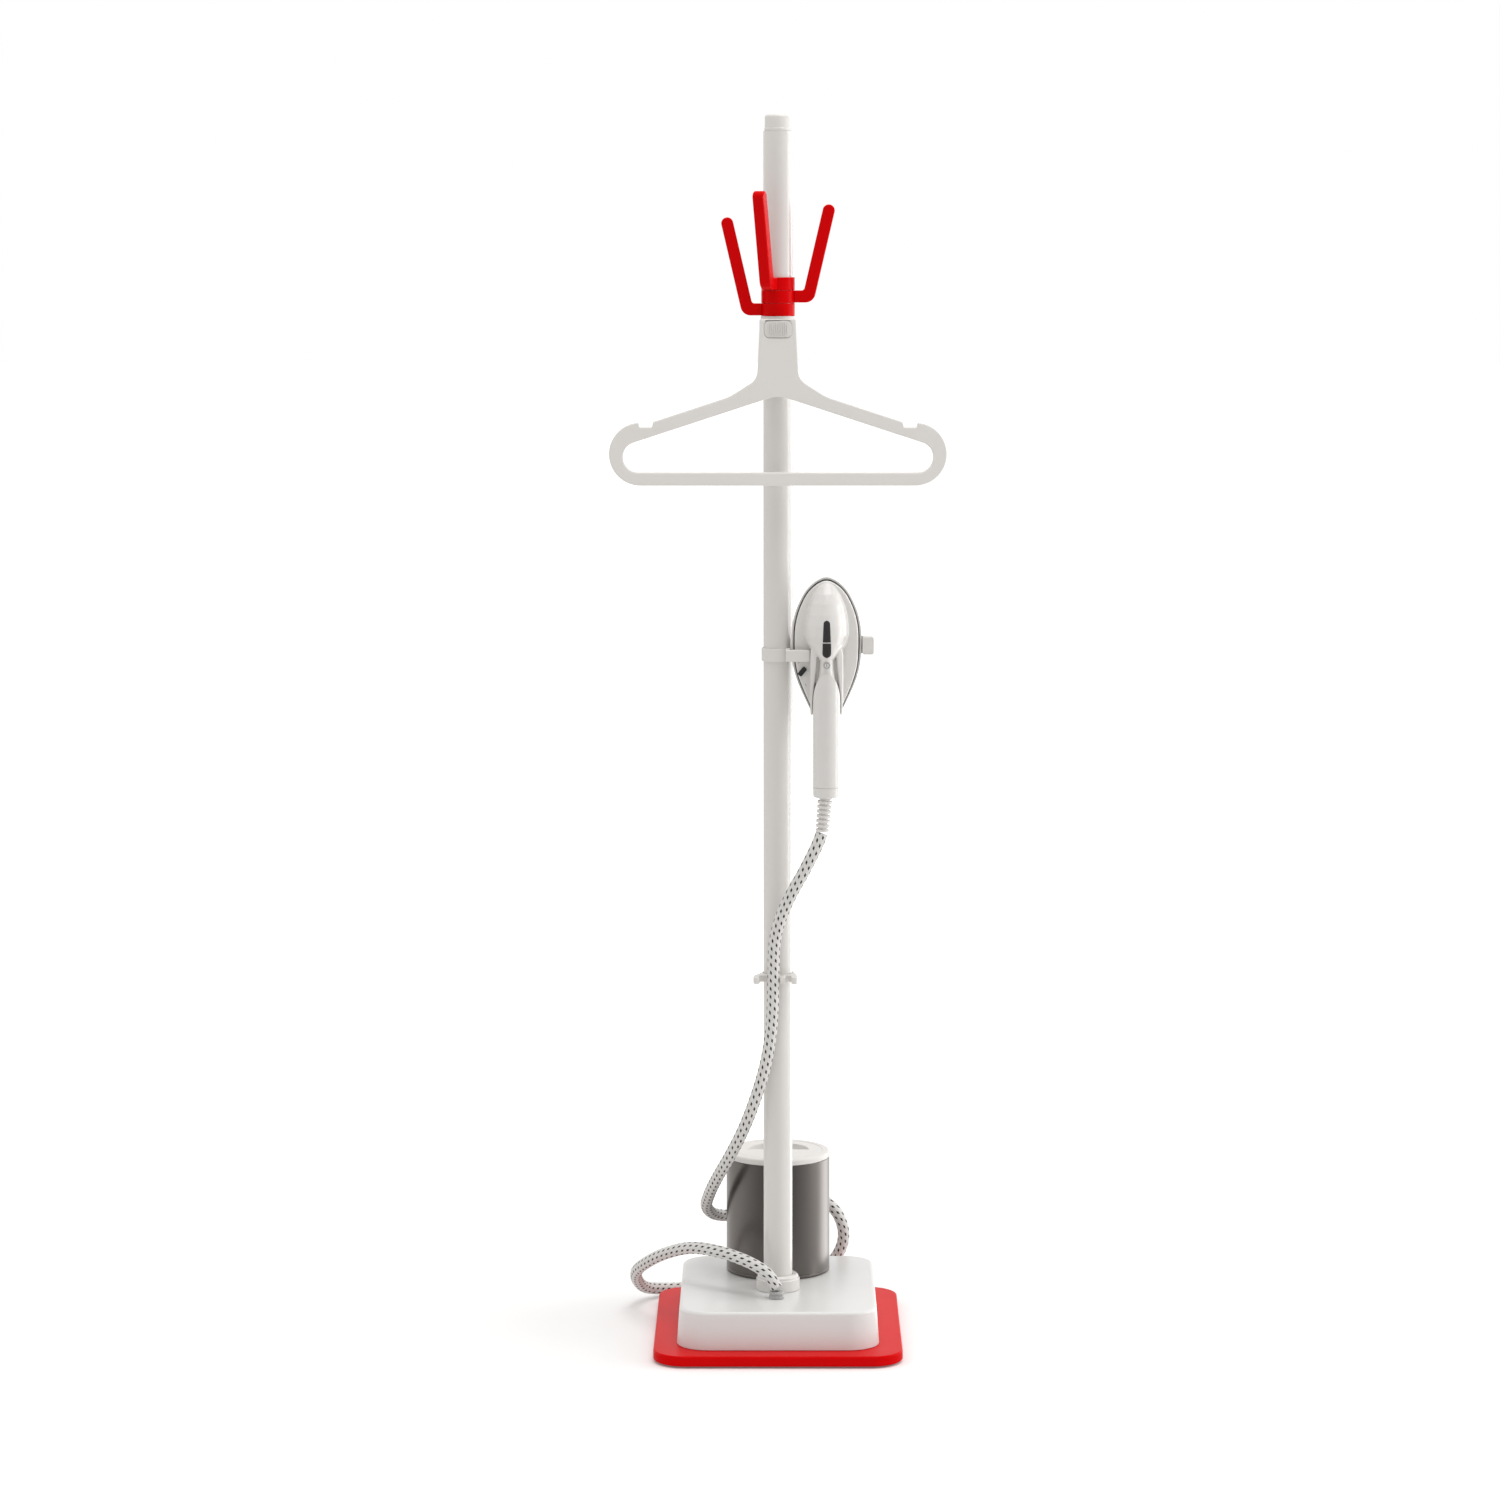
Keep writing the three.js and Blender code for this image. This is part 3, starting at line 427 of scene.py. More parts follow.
def surface(
    name, colour, roughness, metallic=0.0, coat=0.0, mottle=0.02, grain=1400.0,
    relief=0.000003, stretch=(1, 1, 1), spread=0.03, specular=0.5,
):
    """A moulded, painted or cast surface: slow colour drift, uneven gloss and a fine grain."""
    nodes = new_material(name)
    shader = nodes.shader
    share = nodes.between(nodes.noise(COLOUR_PATCH), 0.0, 1.0)
    base = nodes.mix(share, shade(colour, 1 - mottle), shade(colour, 1 + mottle))
    nodes.feed(shader["Base Color"], base)
    gloss = nodes.noise(GLOSS_PATCH, 5.0, stretch)
    nodes.feed(shader["Roughness"], nodes.between(gloss, roughness - spread, roughness + spread))
    nodes.bump(nodes.noise(grain, 2.0, stretch), relief)
    shader["Metallic"].default_value = metallic
    shader["Specular IOR Level"].default_value = specular
    shader["Coat Weight"].default_value = coat
    shader["Coat Roughness"].default_value = 0.12
    return nodes.owner


def braid_material():
    """White woven braid with staggered rows of short black threads."""
    rows, pitch, length, width, slant = 8, 10.5, 0.40, 0.40, 0.5
    nodes = new_material("hose_braid")
    shader = nodes.shader
    around, along = nodes.split(nodes.uv)[:2]
    row = nodes.math("MULTIPLY", around, rows)
    number = nodes.math("FLOOR", row)
    across = nodes.math("FRACT", row)
    turn = nodes.math("MULTIPLY", along, 1 / pitch)
    stagger = nodes.math("MULTIPLY", number, 0.5)
    lean = nodes.math("MULTIPLY", across, slant)
    phase = nodes.math("FRACT", nodes.math("ADD", nodes.math("ADD", turn, stagger), lean))
    in_length = nodes.math("LESS_THAN", phase, length)
    off_middle = nodes.math("ABSOLUTE", nodes.math("SUBTRACT", across, 0.5))
    in_width = nodes.math("LESS_THAN", off_middle, width / 2)
    thread = nodes.math("MULTIPLY", in_length, in_width)
    fine = nodes.math("SINE", nodes.math("MULTIPLY", along, 7.4))
    fine_row = nodes.math("SINE", nodes.math("MULTIPLY", around, 2 * math.pi * 36))
    weave = nodes.math("MULTIPLY", fine, fine_row)
    shadow = nodes.math("MULTIPLY", nodes.math("ADD", weave, 1.0), 0.5)
    white = nodes.mix(shadow, (0.62, 0.605, 0.585, 1), (0.86, 0.85, 0.83, 1))
    nodes.feed(shader["Base Color"], nodes.mix(thread, white, (0.012, 0.012, 0.013, 1)))
    shader["Roughness"].default_value = 0.82
    shader["Sheen Weight"].default_value = 0.25
    shader["Sheen Roughness"].default_value = 0.5
    nodes.bump(nodes.math("ADD", shadow, nodes.noise(2500, 2.0)), 0.00016)
    return nodes.owner


def board_material():
    """Green laminate with lighter copper traces under the lacquer."""
    nodes = new_material("board_green")
    shader = nodes.shader
    brick = nodes.add("ShaderNodeTexBrick")
    nodes.feed(brick.inputs["Vector"], nodes.place)
    brick.inputs["Scale"].default_value = 220
    brick.inputs["Color1"].default_value = (0.010, 0.085, 0.030, 1)
    brick.inputs["Color2"].default_value = (0.014, 0.110, 0.040, 1)
    brick.inputs["Mortar"].default_value = (0.060, 0.200, 0.070, 1)
    brick.inputs["Mortar Size"].default_value = 0.06
    nodes.feed(shader["Base Color"], brick.outputs["Color"])
    nodes.feed(shader["Roughness"], nodes.between(nodes.noise(60), 0.3, 0.45))
    nodes.bump(brick.outputs["Fac"], 0.00008)
    return nodes.owner


WHITE_PLASTIC = surface("white_plastic", (0.74, 0.722, 0.70), 0.42, mottle=0.008, specular=0.4)
# Painted light: the white plastic made lighter for the hanger, standing in for the extra light that
# falls on it.
HANGER_LIT_WHITE = surface("hanger_lit_white", (0.79, 0.772, 0.748), 0.42, mottle=0.008, specular=0.4)
WHITE_GLOSS = surface(
    "white_gloss", (0.735, 0.72, 0.70), 0.22, coat=0.2, mottle=0.008, relief=0.000001
)
COVER_WHITE = surface(
    "cover_white", (0.76, 0.755, 0.745), 0.32, coat=0.1, mottle=0.008, relief=0.0000015
)
POLE_WHITE = surface(
    "pole_white", (0.73, 0.712, 0.69), 0.22, coat=0.3, mottle=0.004, grain=500.0,
    relief=0.0000002, spread=0.01,
)
RED_PLASTIC = surface(
    "red_plastic", (0.66, 0.001, 0.002), 0.30, mottle=0.02, specular=0.04,
    relief=0.0000003, spread=0.01,
)
TANK_METAL = surface(
    "tank_grey", (0.160, 0.148, 0.139), 0.30, metallic=1.0, mottle=0.02, grain=60.0,
    relief=0.0000005, stretch=(1.0, 1.0, 0.1), spread=0.015,
)
DARK_GLOSS = surface("dark_plastic", (0.030, 0.029, 0.029), 0.20, coat=0.3, mottle=0.1)
SEAL_GREY = surface("seal_grey", (0.165, 0.163, 0.16), 0.62, mottle=0.06)
GASKET_GREY = surface("gasket_grey", (0.045, 0.044, 0.043), 0.6, mottle=0.08)
MARK_GREY = surface("mark_grey", (0.12, 0.117, 0.113), 0.45, mottle=0.05)
FOOT_RUBBER = surface("foot_rubber", (0.045, 0.045, 0.047), 0.75, mottle=0.12, relief=0.00001)
SMOKE = surface("smoke_plastic", (0.40, 0.395, 0.39), 0.22, coat=0.4, mottle=0.04)
STEEL = surface(
    "steel", (0.60, 0.60, 0.605), 0.28, metallic=1.0, mottle=0.05, grain=900.0,
    relief=0.000003, stretch=(1.0, 1.0, 0.06),
)
# Painted shade: the steel made darker for the soleplate, to damp the bright window reflection on it; it
# is also rougher.
SOLE_STEEL_SHADED = surface(
    "sole_steel_shaded", (0.46, 0.46, 0.465), 0.42, metallic=1.0, mottle=0.04, grain=900.0,
    relief=0.000003, stretch=(1.0, 1.0, 0.06),
)
ALUMINIUM = surface(
    "cast_aluminium", (0.66, 0.665, 0.67), 0.46, metallic=1.0, mottle=0.08, relief=0.00003,
)
BRASS = surface("brass", (0.60, 0.44, 0.16), 0.30, metallic=1.0, mottle=0.08)
BRAID = braid_material()
BOARD_GREEN = board_material()


# ---------------------------------------------------------------- camera, lights, floor

PURE_WHITE = (1, 1, 1, 1)
WINDOW_DIRECTION = (0.79, 0.62, 0)
WINDOW_LEVEL = 2.4
CAMERA = Sizes(distance=5.596, height=1.4628, pitch=6.94, lens=104.1, shift=-28 / 1500)


def add_camera():
    data = bpy.data.cameras.new("camera")
    data.lens = CAMERA.lens
    data.sensor_width = 36
    data.shift_x = CAMERA.shift
    data.clip_end = 100
    camera = bpy.data.objects.new("camera", data)
    camera.location = (0, POLE_Y * MM - CAMERA.distance, CAMERA.height)
    camera.rotation_euler = (math.radians(90 - CAMERA.pitch), 0, 0)
    bpy.context.scene.collection.objects.link(camera)
    bpy.context.scene.camera = camera


def add_lamp(name, place, target, size, power):
    data = bpy.data.lights.new(name, "AREA")
    data.shape = "RECTANGLE"
    data.size, data.size_y = size
    data.energy = power
    lamp = bpy.data.objects.new(name, data)
    lamp.location = place
    aim = Vector(target) - Vector(place)
    lamp.rotation_euler = aim.to_track_quat("-Z", "Y").to_euler()
    bpy.context.scene.collection.objects.link(lamp)


def add_world():
    """A studio that is a little darker in front of the object than beside and behind it."""
    world = bpy.data.worlds.new("studio")
    bpy.context.scene.world = world
    nodes = Nodes(world)
    depth = nodes.split(nodes.direction)[1]

    def by_depth(front, back):
        return nodes.ramp(depth, -1.0, 0.15, front, back, interpolation_type="SMOOTHSTEP")

    def background(colour, strength):
        return nodes.fed(nodes.add("ShaderNodeBackground"), colour, strength).outputs[0]

    def chosen(share, first, second):
        return nodes.fed(nodes.add("ShaderNodeMixShader"), share, first, second).outputs[0]

    ambient = background((1.0, 0.985, 0.965, 1), by_depth(0.62, 0.80))
    window = nodes.ramp(nodes.towards_window(nodes.direction), 0.90, 1.0, 0.0, WINDOW_LEVEL)
    mirrored_room = background(PURE_WHITE, nodes.math("ADD", window, by_depth(0.30, 1.0)))
    lit = chosen(nodes.any_ray("Is Glossy Ray"), ambient, mirrored_room)
    seen = nodes.any_ray("Is Camera Ray", "Is Transmission Ray")
    shown = chosen(seen, lit, background(PURE_WHITE, 1.0))
    nodes.feed(nodes.tree.nodes["World Output"].inputs["Surface"], shown)


def floor_disc(radius, rings, sides):
    """A flat disc whose rings lie closer together towards the object."""
    verts, faces = [(0, 0, 0)], []
    for k in range(1, rings + 1):
        r = radius * (k / rings) ** 2
        for s in range(sides):
            angle = 2 * math.pi * s / sides
            verts.append((r * math.cos(angle) / MM, r * math.sin(angle) / MM, 0))
    for s in range(sides):
        faces.append((0, 1 + s, 1 + (s + 1) % sides))
        for k in range(rings - 1):
            a, b = 1 + k * sides + s, 1 + k * sides + (s + 1) % sides
            faces.append((a, a + sides, b + sides, b))
    return piece("floor", verts, faces)


def add_floor():
    """A wide pale floor that reads as white, with the object's soft shadow on it. To glossy rays alone
    it shows a painted reflection: a glowing patch towards the window, and a tone that is darker towards
    the front.
    """
    nodes = new_material("floor_white")
    shader = nodes.shader
    shader["Roughness"].default_value = 0.9
    shader["Specular IOR Level"].default_value = 0.0
    shader["Emission Color"].default_value = PURE_WHITE
    away = nodes.fed(nodes.add("ShaderNodeVectorMath", operation="LENGTH"), nodes.place)
    way = nodes.fed(nodes.add("ShaderNodeVectorMath", operation="NORMALIZE"), nodes.place).outputs[0]
    # Painted reflection: this patch of the floor glows for glossy rays only, and shows as a highlight
    # on glossy parts.
    window = nodes.ramp(nodes.towards_window(way), 0.93, 1.0, 0.0, WINDOW_LEVEL)
    painted_reflection_glow = nodes.math("MULTIPLY", nodes.any_ray("Is Glossy Ray"), window)
    glow = nodes.ramp(away.outputs["Value"], 0.30, 1.8, 0.08, 0.60)
    lift = nodes.fed(nodes.add("ShaderNodeMix"), nodes.any_ray("Is Camera Ray"))
    nodes.fed(lift, painted_reflection_glow, glow, first=2)
    nodes.feed(shader["Emission Strength"], lift.outputs[0])
    # Painted reflection: to glossy rays the floor is darker towards the front and paler behind.
    painted_reflection_tone = nodes.ramp(nodes.split(way)[1], -0.95, 0.1, 0.28, 0.95)
    tone = nodes.mix(nodes.any_ray("Is Glossy Ray"), (0.9, 0.9, 0.9, 1), painted_reflection_tone)
    nodes.feed(shader["Base Color"], tone)
    floor = floor_disc(40.0, 24, 64)
    floor.data.materials.append(nodes.owner)


add_camera()


# ---------------------------------------------------------------- steam hose

HOSE_RADIUS = 8.0
HOSE_ROUTE = [
    (0.0565, -0.076, 0.6793), (0.051, -0.077, 0.665), (0.035, -0.074, 0.632),
    (0.017, -0.068, 0.598), (0.004, -0.062, 0.568), (-0.004, -0.058, 0.535),
    (-0.006, -0.058, 0.485), (-0.007, -0.058, 0.445), (-0.010, -0.057, 0.408),
    (-0.017, -0.055, 0.369), (-0.029, -0.049, 0.327), (-0.045, -0.033, 0.282),
    (-0.063, -0.007, 0.241), (-0.080, 0.029, 0.204), (-0.092, 0.070, 0.171),
    (-0.096, 0.112, 0.144), (-0.083, 0.153, 0.124), (-0.053, 0.181, 0.118),
    (-0.016, 0.190, 0.127), (0.020, 0.188, 0.138), (0.050, 0.186, 0.141),
    (0.075, 0.187, 0.126), (0.088, 0.190, 0.101), (0.089, 0.196, 0.077),
    (0.079, 0.202, 0.053), (0.058, 0.207, 0.033), (0.028, 0.210, 0.017),
    (-0.015, 0.211, 0.009), (-0.075, 0.209, 0.009), (-0.125, 0.205, 0.009),
    (-0.157, 0.194, 0.011), (-0.181, 0.170, 0.019), (-0.191, 0.136, 0.038),
    (-0.190, 0.100, 0.059), (-0.176, 0.064, 0.079), (-0.150, 0.028, 0.100),
    (-0.115, -0.007, 0.116), (-0.080, -0.038, 0.119), (-0.053, -0.057, 0.115),
    (-0.029, -0.070, 0.107), (-0.012, -0.077, 0.096), (-0.002, -0.079, 0.080),
]


def smooth_route(points, steps=12):
    """The centripetal Catmull-Rom curve through the route's points."""
    route = [Vector(p) for p in points]
    route = [2 * route[0] - route[1], *route, 2 * route[-1] - route[-2]]
    made = []
    for p0, p1, p2, p3 in zip(route, route[1:], route[2:], route[3:]):
        d0, d1, d2 = ((b - a).length ** 0.5 for a, b in ((p0, p1), (p1, p2), (p2, p3)))
        t1 = ((p1 - p0) / d0 - (p2 - p0) / (d0 + d1) + (p2 - p1) / d1) * d1
        t2 = ((p2 - p1) / d1 - (p3 - p1) / (d1 + d2) + (p3 - p2) / d2) * d1
        for k in range(steps):
            t = k / steps
            made.append(
                p1 + t1 * t + (-3 * p1 + 3 * p2 - 2 * t1 - t2) * t**2
                + (2 * p1 - 2 * p2 + t1 + t2) * t**3
            )
    made.append(route[-2])
    return np.array(made)


def even_path(points, step):
    """The same path with its points `step` metres apart, and each one's distance along it."""
    lengths = np.linalg.norm(np.diff(points, axis=0), axis=1)
    gone = np.concatenate([[0], np.cumsum(lengths)])
    count = int(round(gone[-1] / step)) + 1
    wanted = np.linspace(0, gone[-1], count)
    even = np.stack([np.interp(wanted, gone, points[:, k]) for k in range(3)], axis=1)
    return even, wanted


def add_hose():
    """A woven tube along the route, with the strands' crossings raised."""
    sides, strands, twist, depth = 48, 12, 9.0, 0.22
    path, along = even_path(smooth_route(HOSE_ROUTE), 0.0015)
    tangents = np.gradient(path, axis=0)
    tangents /= np.linalg.norm(tangents, axis=1)[:, None]
    side = np.cross(tangents[0], (0.0, 1.0, 0.0))
    verts, faces = [], []
    for point, tangent, s in zip(path, tangents, along / MM):
        side = side - tangent * np.dot(side, tangent)
        side /= np.linalg.norm(side)
        up = np.cross(tangent, side)
        for k in range(sides):
            share = k / sides
            crossing = abs(math.sin(math.pi * (strands * share + s / twist)))
            crossing += abs(math.sin(math.pi * (strands * share - s / twist)))
            radius = HOSE_RADIUS - depth + depth * crossing / 2
            angle = 2 * math.pi * share
            offset = math.cos(angle) * side + math.sin(angle) * up
            verts.append(tuple(point / MM + radius * offset))
    rings = len(path)
    for r in range(rings - 1):
        for k in range(sides):
            j = (k + 1) % sides
            faces.append((r * sides + k, r * sides + j, (r + 1) * sides + j, (r + 1) * sides + k))
    faces.append(tuple(reversed(range(sides))))
    faces.append(tuple(range((rings - 1) * sides, rings * sides)))
    mesh = bpy.data.meshes.new("steam_hose_braid")
    mesh.from_pydata([tuple(c * MM for c in v) for v in verts], [], faces)
    uv = mesh.uv_layers.new(name="UVMap")
    for face in mesh.polygons[: (rings - 1) * sides]:
        k = face.index % sides
        r = face.index // sides
        corners = [(k, r), (k + 1, r), (k + 1, r + 1), (k, r + 1)]
        for loop, (u, v) in zip(face.loop_indices, corners):
            uv.data[loop].uv = (u / sides, along[v] / MM)
    hose = bpy.data.objects.new("steam_hose_braid", mesh)
    bpy.context.scene.collection.objects.link(hose)
    mesh.materials.append(BRAID)
    mesh.shade_smooth()
    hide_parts("steam_hose")
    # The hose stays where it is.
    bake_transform(hose)


add_hose()


# ---------------------------------------------------------------- base

TRAY = Sizes(width=323, depth=372, corner=42, bottom=2.5, top=16, edge=2.2)
FOOT = Sizes(radius=11, stem=4, inset=34)
COVER = Sizes(width=256, depth=312, y=3, draft=3.5, corner=38, top=66, wall=3)
SOCKET = Sizes(radius=28.6, sleeve=24, top=87)
CONNECTOR = Sizes(x=-2, y=-79, radius=9.75, stem=7, top=75.5)
GLAND = Sizes(x=-84, z=40, shank=6)
BOLT = Sizes(shank=4, head=8, head_top=10)
TANK_Y = 84


def foot_spots():
    for name, sx, sy in (
        ("foot_front_left", -1, -1), ("foot_front_right", 1, -1),
        ("foot_rear_left", -1, 1), ("foot_rear_right", 1, 1),
    ):
        x = sx * (TRAY.width / 2 - FOOT.inset)
        y = sy * (TRAY.depth / 2 - FOOT.inset)
        yield name, x, y


def add_tray():
    outline = rounded_rectangle(TRAY.width, TRAY.depth, TRAY.corner, steps=20)
    tray = slab("tray", [outline], TRAY.bottom, TRAY.top, TRAY.edge, upright=False)
    reach = TRAY.bottom + 5
    pad = TRAY.bottom - GAP
    for name, x, y in foot_spots():
        stem = FOOT.stem
        combine(tray, "DIFFERENCE", rod(stem + GAP, 0, reach + GAP, x, y, 32))
        profile = [
            (0, 0), (FOOT.radius, 0, 0.6), (FOOT.radius, pad, 0.4), (stem, pad),
            (stem, reach, 0.5), (0, reach),
        ]
        foot = lathe(name + "_pad", profile, x, y, 48)
        finished(foot, "root", FOOT_RUBBER, "foot_rubber", name)
    head, shank, seat = BOLT.head + GAP, BOLT.shank + GAP, BOLT.head_top + GAP
    bolt_hole = [(0, 0), (head, 0), (head, seat), (shank, seat), (shank, 20), (0, 20)]
    combine(tray, "DIFFERENCE", lathe("hole", bolt_hole, segments=32))
    finished(tray, "root", RED_PLASTIC, "red_plastic", "base_tray")


def cover_rings(inset, levels):
    """Rounded rectangles up the cover's wall; levels are (z, extra inset) pairs."""
    rings = []
    for z, pull in levels:
        slope = COVER.draft * (COVER.top - z) / (COVER.top - TRAY.top)
        grow = slope - inset - pull
        loop = rounded_rectangle(
            COVER.width + 2 * grow, COVER.depth + 2 * grow, COVER.corner + grow,
            0, COVER.y, steps=16,
        )
        rings.append([(x, y, z) for x, y in loop])
    return rings


def add_cover():
    edge, top, wall = 4.5, COVER.top, COVER.wall
    bottom = TRAY.top + GAP
    rim = [
        (top - edge + edge * math.sin(a), edge * (1 - math.cos(a)))
        for a in (math.pi / 16 * k for k in range(9))
    ]
    foot = [(bottom, 0.7), (bottom + 0.2, 0.3), (bottom + 0.7, 0)]
    cover = loft("cover", cover_rings(0, foot + rim))
    inner = loft("inside", cover_rings(wall, [(bottom - 5, 0), (top - wall - 2, 0), (top - wall, 2)]))
    combine(cover, "DIFFERENCE", inner)
    for radius, x, y in (
        (SOCKET.sleeve + GAP, 0, POLE_Y), (CONNECTOR.stem + GAP, CONNECTOR.x, CONNECTOR.y),
        (12, 0, TANK_Y),
    ):
        combine(cover, "DIFFERENCE", rod(radius, top - 10, top + 5, x, y, 64))
    bore = rod(GLAND.shank + GAP, 130, 190, 0, 0, 32)
    combine(cover, "DIFFERENCE", moved(bore, at(GLAND.x, 0, GLAND.z) @ lying()))
    finished(cover, "root", COVER_WHITE, "white_plastic", "base_cover")


def add_gland():
    wall = COVER.y + COVER.depth / 2
    profile = [
        (3.2, wall - 12), (9, wall - 12, 0.8), (9, wall - 5),
        (GLAND.shank, wall - 5), (GLAND.shank, wall + 3.5),
        (9, wall + 3.5), (8.6, wall + 5.5), (7.9, wall + 5.9), (7.9, wall + 7.4), (8.1, wall + 7.8),
        (7.6, wall + 9.6), (7.1, wall + 10), (7, wall + 12, 0.8), (3.2, wall + 12, 0.5),
    ]
    gland = lathe("gland", profile, 0, 0, 48)
    moved(gland, at(GLAND.x, 0, GLAND.z) @ lying())
    finished(gland, "root", FOOT_RUBBER, "foot_rubber", "cord_gland")


def add_socket_and_connector():
    radius, top, sleeve = SOCKET.radius, SOCKET.top, SOCKET.sleeve
    seat = COVER.top + GAP
    bore = POLE_RADIUS + GAP
    profile = [
        (bore, 22.6), (sleeve, 22.6), (sleeve, seat), (radius, seat, 0.5), (radius, top - 6, 0.6),
        (radius - 1.6, top - 5.2, 0.6), (radius - 1.6, top - 2.6, 1.2), (radius - 4.2, top, 1.0),
        (bore, top, 0.8),
    ]
    socket = lathe("socket", profile)
    finished(socket, "root", WHITE_GLOSS, "white_plastic", "pole_socket")
    radius, stem, top = CONNECTOR.radius, CONNECTOR.stem, CONNECTOR.top
    profile = [
        (4, 50), (stem, 50), (stem, seat), (radius, seat, 0.4), (radius, seat + 4, 0.3),
        (radius - 0.8, seat + 4.6, 0.2), (radius - 0.8, seat + 5.4, 0.2), (radius, seat + 6, 0.3),
        (radius, top, 1.6), (4, top, 0.4),
    ]
    collar = lathe("connector_collar", profile, CONNECTOR.x, CONNECTOR.y, 64)
    finished(collar, "root", SMOKE, "smoke_plastic", "hose_connector")


# ---------------------------------------------------------------- pole

POLE = Sizes(wall=1.5, foot=22.6, low=485, high=907, top=1578.6)
CAP = Sizes(radius=17.5, top=1600, plug=18)


def add_pole():
    outer, inner = POLE_RADIUS, POLE_RADIUS - POLE.wall
    half = GAP / 2
    foot, hole = POLE.foot, BOLT.shank + GAP
    lower = lathe("pole_tube_lower", [
        (hole, foot), (outer, foot, 0.4), (outer, POLE.low - half, 0.3),
        (inner, POLE.low - half), (inner, foot + 5), (hole, foot + 5),
    ])
    finished(lower, "root", POLE_WHITE, "pole_white", "pole_lower")
    spans = {
        "middle": (POLE.low + half, POLE.high - half),
        "upper": (POLE.high + half, POLE.top - GAP),
    }
    for name, (z0, z1) in spans.items():
        profile = [(inner, z0), (outer, z0, 0.3), (outer, z1, 0.3), (inner, z1)]
        tube = lathe("pole_tube_" + name, profile)
        finished(tube, "root", POLE_WHITE, "pole_white", "pole_" + name)
    plug, top = inner - GAP, POLE.top
    cap = lathe("pole_top_cap", [
        (0, top - CAP.plug), (plug, top - CAP.plug, 0.8), (plug, top), (CAP.radius, top, 0.3),
        (CAP.radius, top + 3, 0.5), (CAP.radius - 0.5, top + 3.6, 0.4),
        (CAP.radius - 0.7, CAP.top, 4.5), (0, CAP.top),
    ])
    finished(cap, "root", WHITE_PLASTIC, "white_plastic", "pole_cap")


def add_hose_guide():
    """A collar with a three-pronged fork; the hose lies between the left and middle prongs."""
    z0, z1 = 480, 489
    deep, short, root_y = row_y(-41), row_y(-38), row_y(-24)
    outline = fillet([
        (-32, deep, 3.2), (-24, deep, 3.2), (-23.6, root_y, 2.5), (-14, row_y(-20.6), 12),
        (1.6, row_y(-21.5), 2.5), (2, short, 3), (9, short, 3), (9.4, row_y(-23), 3),
        (17, row_y(-23), 3), (17.4, deep, 3.2), (25.4, deep, 3.2), (25.6, root_y, 9),
        (22.5, row_y(-3), 12), (16, row_y(17.5), 14), (-16, row_y(17.5), 14), (-22.5, row_y(-3), 12),
        (-32.2, root_y, 9),
    ])
    bore = arc((0, POLE_Y), POLE_RADIUS + GAP, 0, 360 - 360 / ROUND, ROUND - 1)
    guide = slab("guide", [outline, bore], z0, z1, 1.1, upright=False)
    finished(guide, "root", WHITE_PLASTIC, "white_plastic", "hose_guide")


# ---------------------------------------------------------------- cradle

CLAMP = Sizes(bottom=898.3, top=915.6, outer=21.5, split=4.3, screw_x=29, screw=2)
HANDSET_X = 62.5
SOLE = Sizes(back=-13.5, front=-19.5, skirt=-25.5, panel=-31.5)


def plate(name, centre, size, low, high, corner, bevel):
    """A rounded upright plate between two depths from the pole's axis."""
    outline = rounded_rectangle(size[0], size[1], corner, centre[0], centre[1], steps=5)
    return slab(name, [outline], row_y(low), row_y(high), bevel)


def collar_half(name, front, low, high):
    """Half a clamp ring, in front of the split or behind it."""
    split, outer = CLAMP.split, CLAMP.outer
    inner = POLE_RADIUS + GAP
    profile = [(inner, low, 0.4), (outer, low, 0.7), (outer, high, 0.7), (inner, high, 0.4)]
    half = lathe(name, profile)
    reach = (row_y(split) if front else row_y(-40), row_y(40) if front else row_y(split + GAP))
    keep_out = block("cut", (-40, 60), reach, (low - 5, high + 5), 0.1)
    return combine(half, "DIFFERENCE", keep_out)


def add_cradle():
    low, high, screw = CLAMP.bottom, CLAMP.top, CLAMP.screw_x
    outer, split = CLAMP.outer, CLAMP.split
    back, face = SOLE.back + 4.3, SOLE.back + GAP
    middle = (low + high) / 2
    finger = (-45.5, SOLE.panel - 6)
    cradle = collar_half("cradle_arm", True, low, high)
    parts = [
        block("lug", (outer - 4, 35), (row_y(face), row_y(split)), (low, high), 1.2),
        plate("back", (61.25, 915.15), (87.5, 33.7), face, back, 5, 1.0),
        plate("side", (106, 920.5), (32, 23), face, back, 5, 1.0),
        plate("spine", (HANDSET_X, 862), (24, 78), face, back, 4, 1.0),
        plate("ledge", (HANDSET_X, 827.3), (28, 5), SOLE.skirt, back, 2, 0.8),
        plate("jaw", (116.4, 920.5), (15.2, 23.2), SOLE.skirt - 4, back, 3.2, 1.3),
        plate("finger", (25.5, 908.7), (31, 15.4), finger[0], finger[1], 2.4, 1.2),
        block("bridge", (10, 16.4), (row_y(finger[0] + 1), row_y(-14)), (901, 916.4), 1.2),
    ]
    combine(cradle, "UNION", *parts)
    inner = POLE_RADIUS + GAP
    bore = (inner, low - 20, high + 30)
    combine(cradle, "DIFFERENCE", rod(*bore), screw_hole(screw, middle))
    finished(cradle, "root", WHITE_PLASTIC, "white_plastic", "cradle")

    rear = collar_half("clamp_rear", False, low, high)
    lug = block("lug", (outer - 4, 35), (row_y(split + GAP), row_y(9)), (low, high), 1.2)
    combine(rear, "UNION", lug)
    combine(rear, "DIFFERENCE", rod(*bore), screw_hole(screw, middle))
    finished(rear, "root", WHITE_PLASTIC, "white_plastic", "cradle_clamp")


def screw_hole(x, z):
    return moved(rod(CLAMP.screw + GAP, -6, 20, 0, 0, 24), at(x, POLE_Y, z) @ lying())


# ---------------------------------------------------------------- carriage and hooks

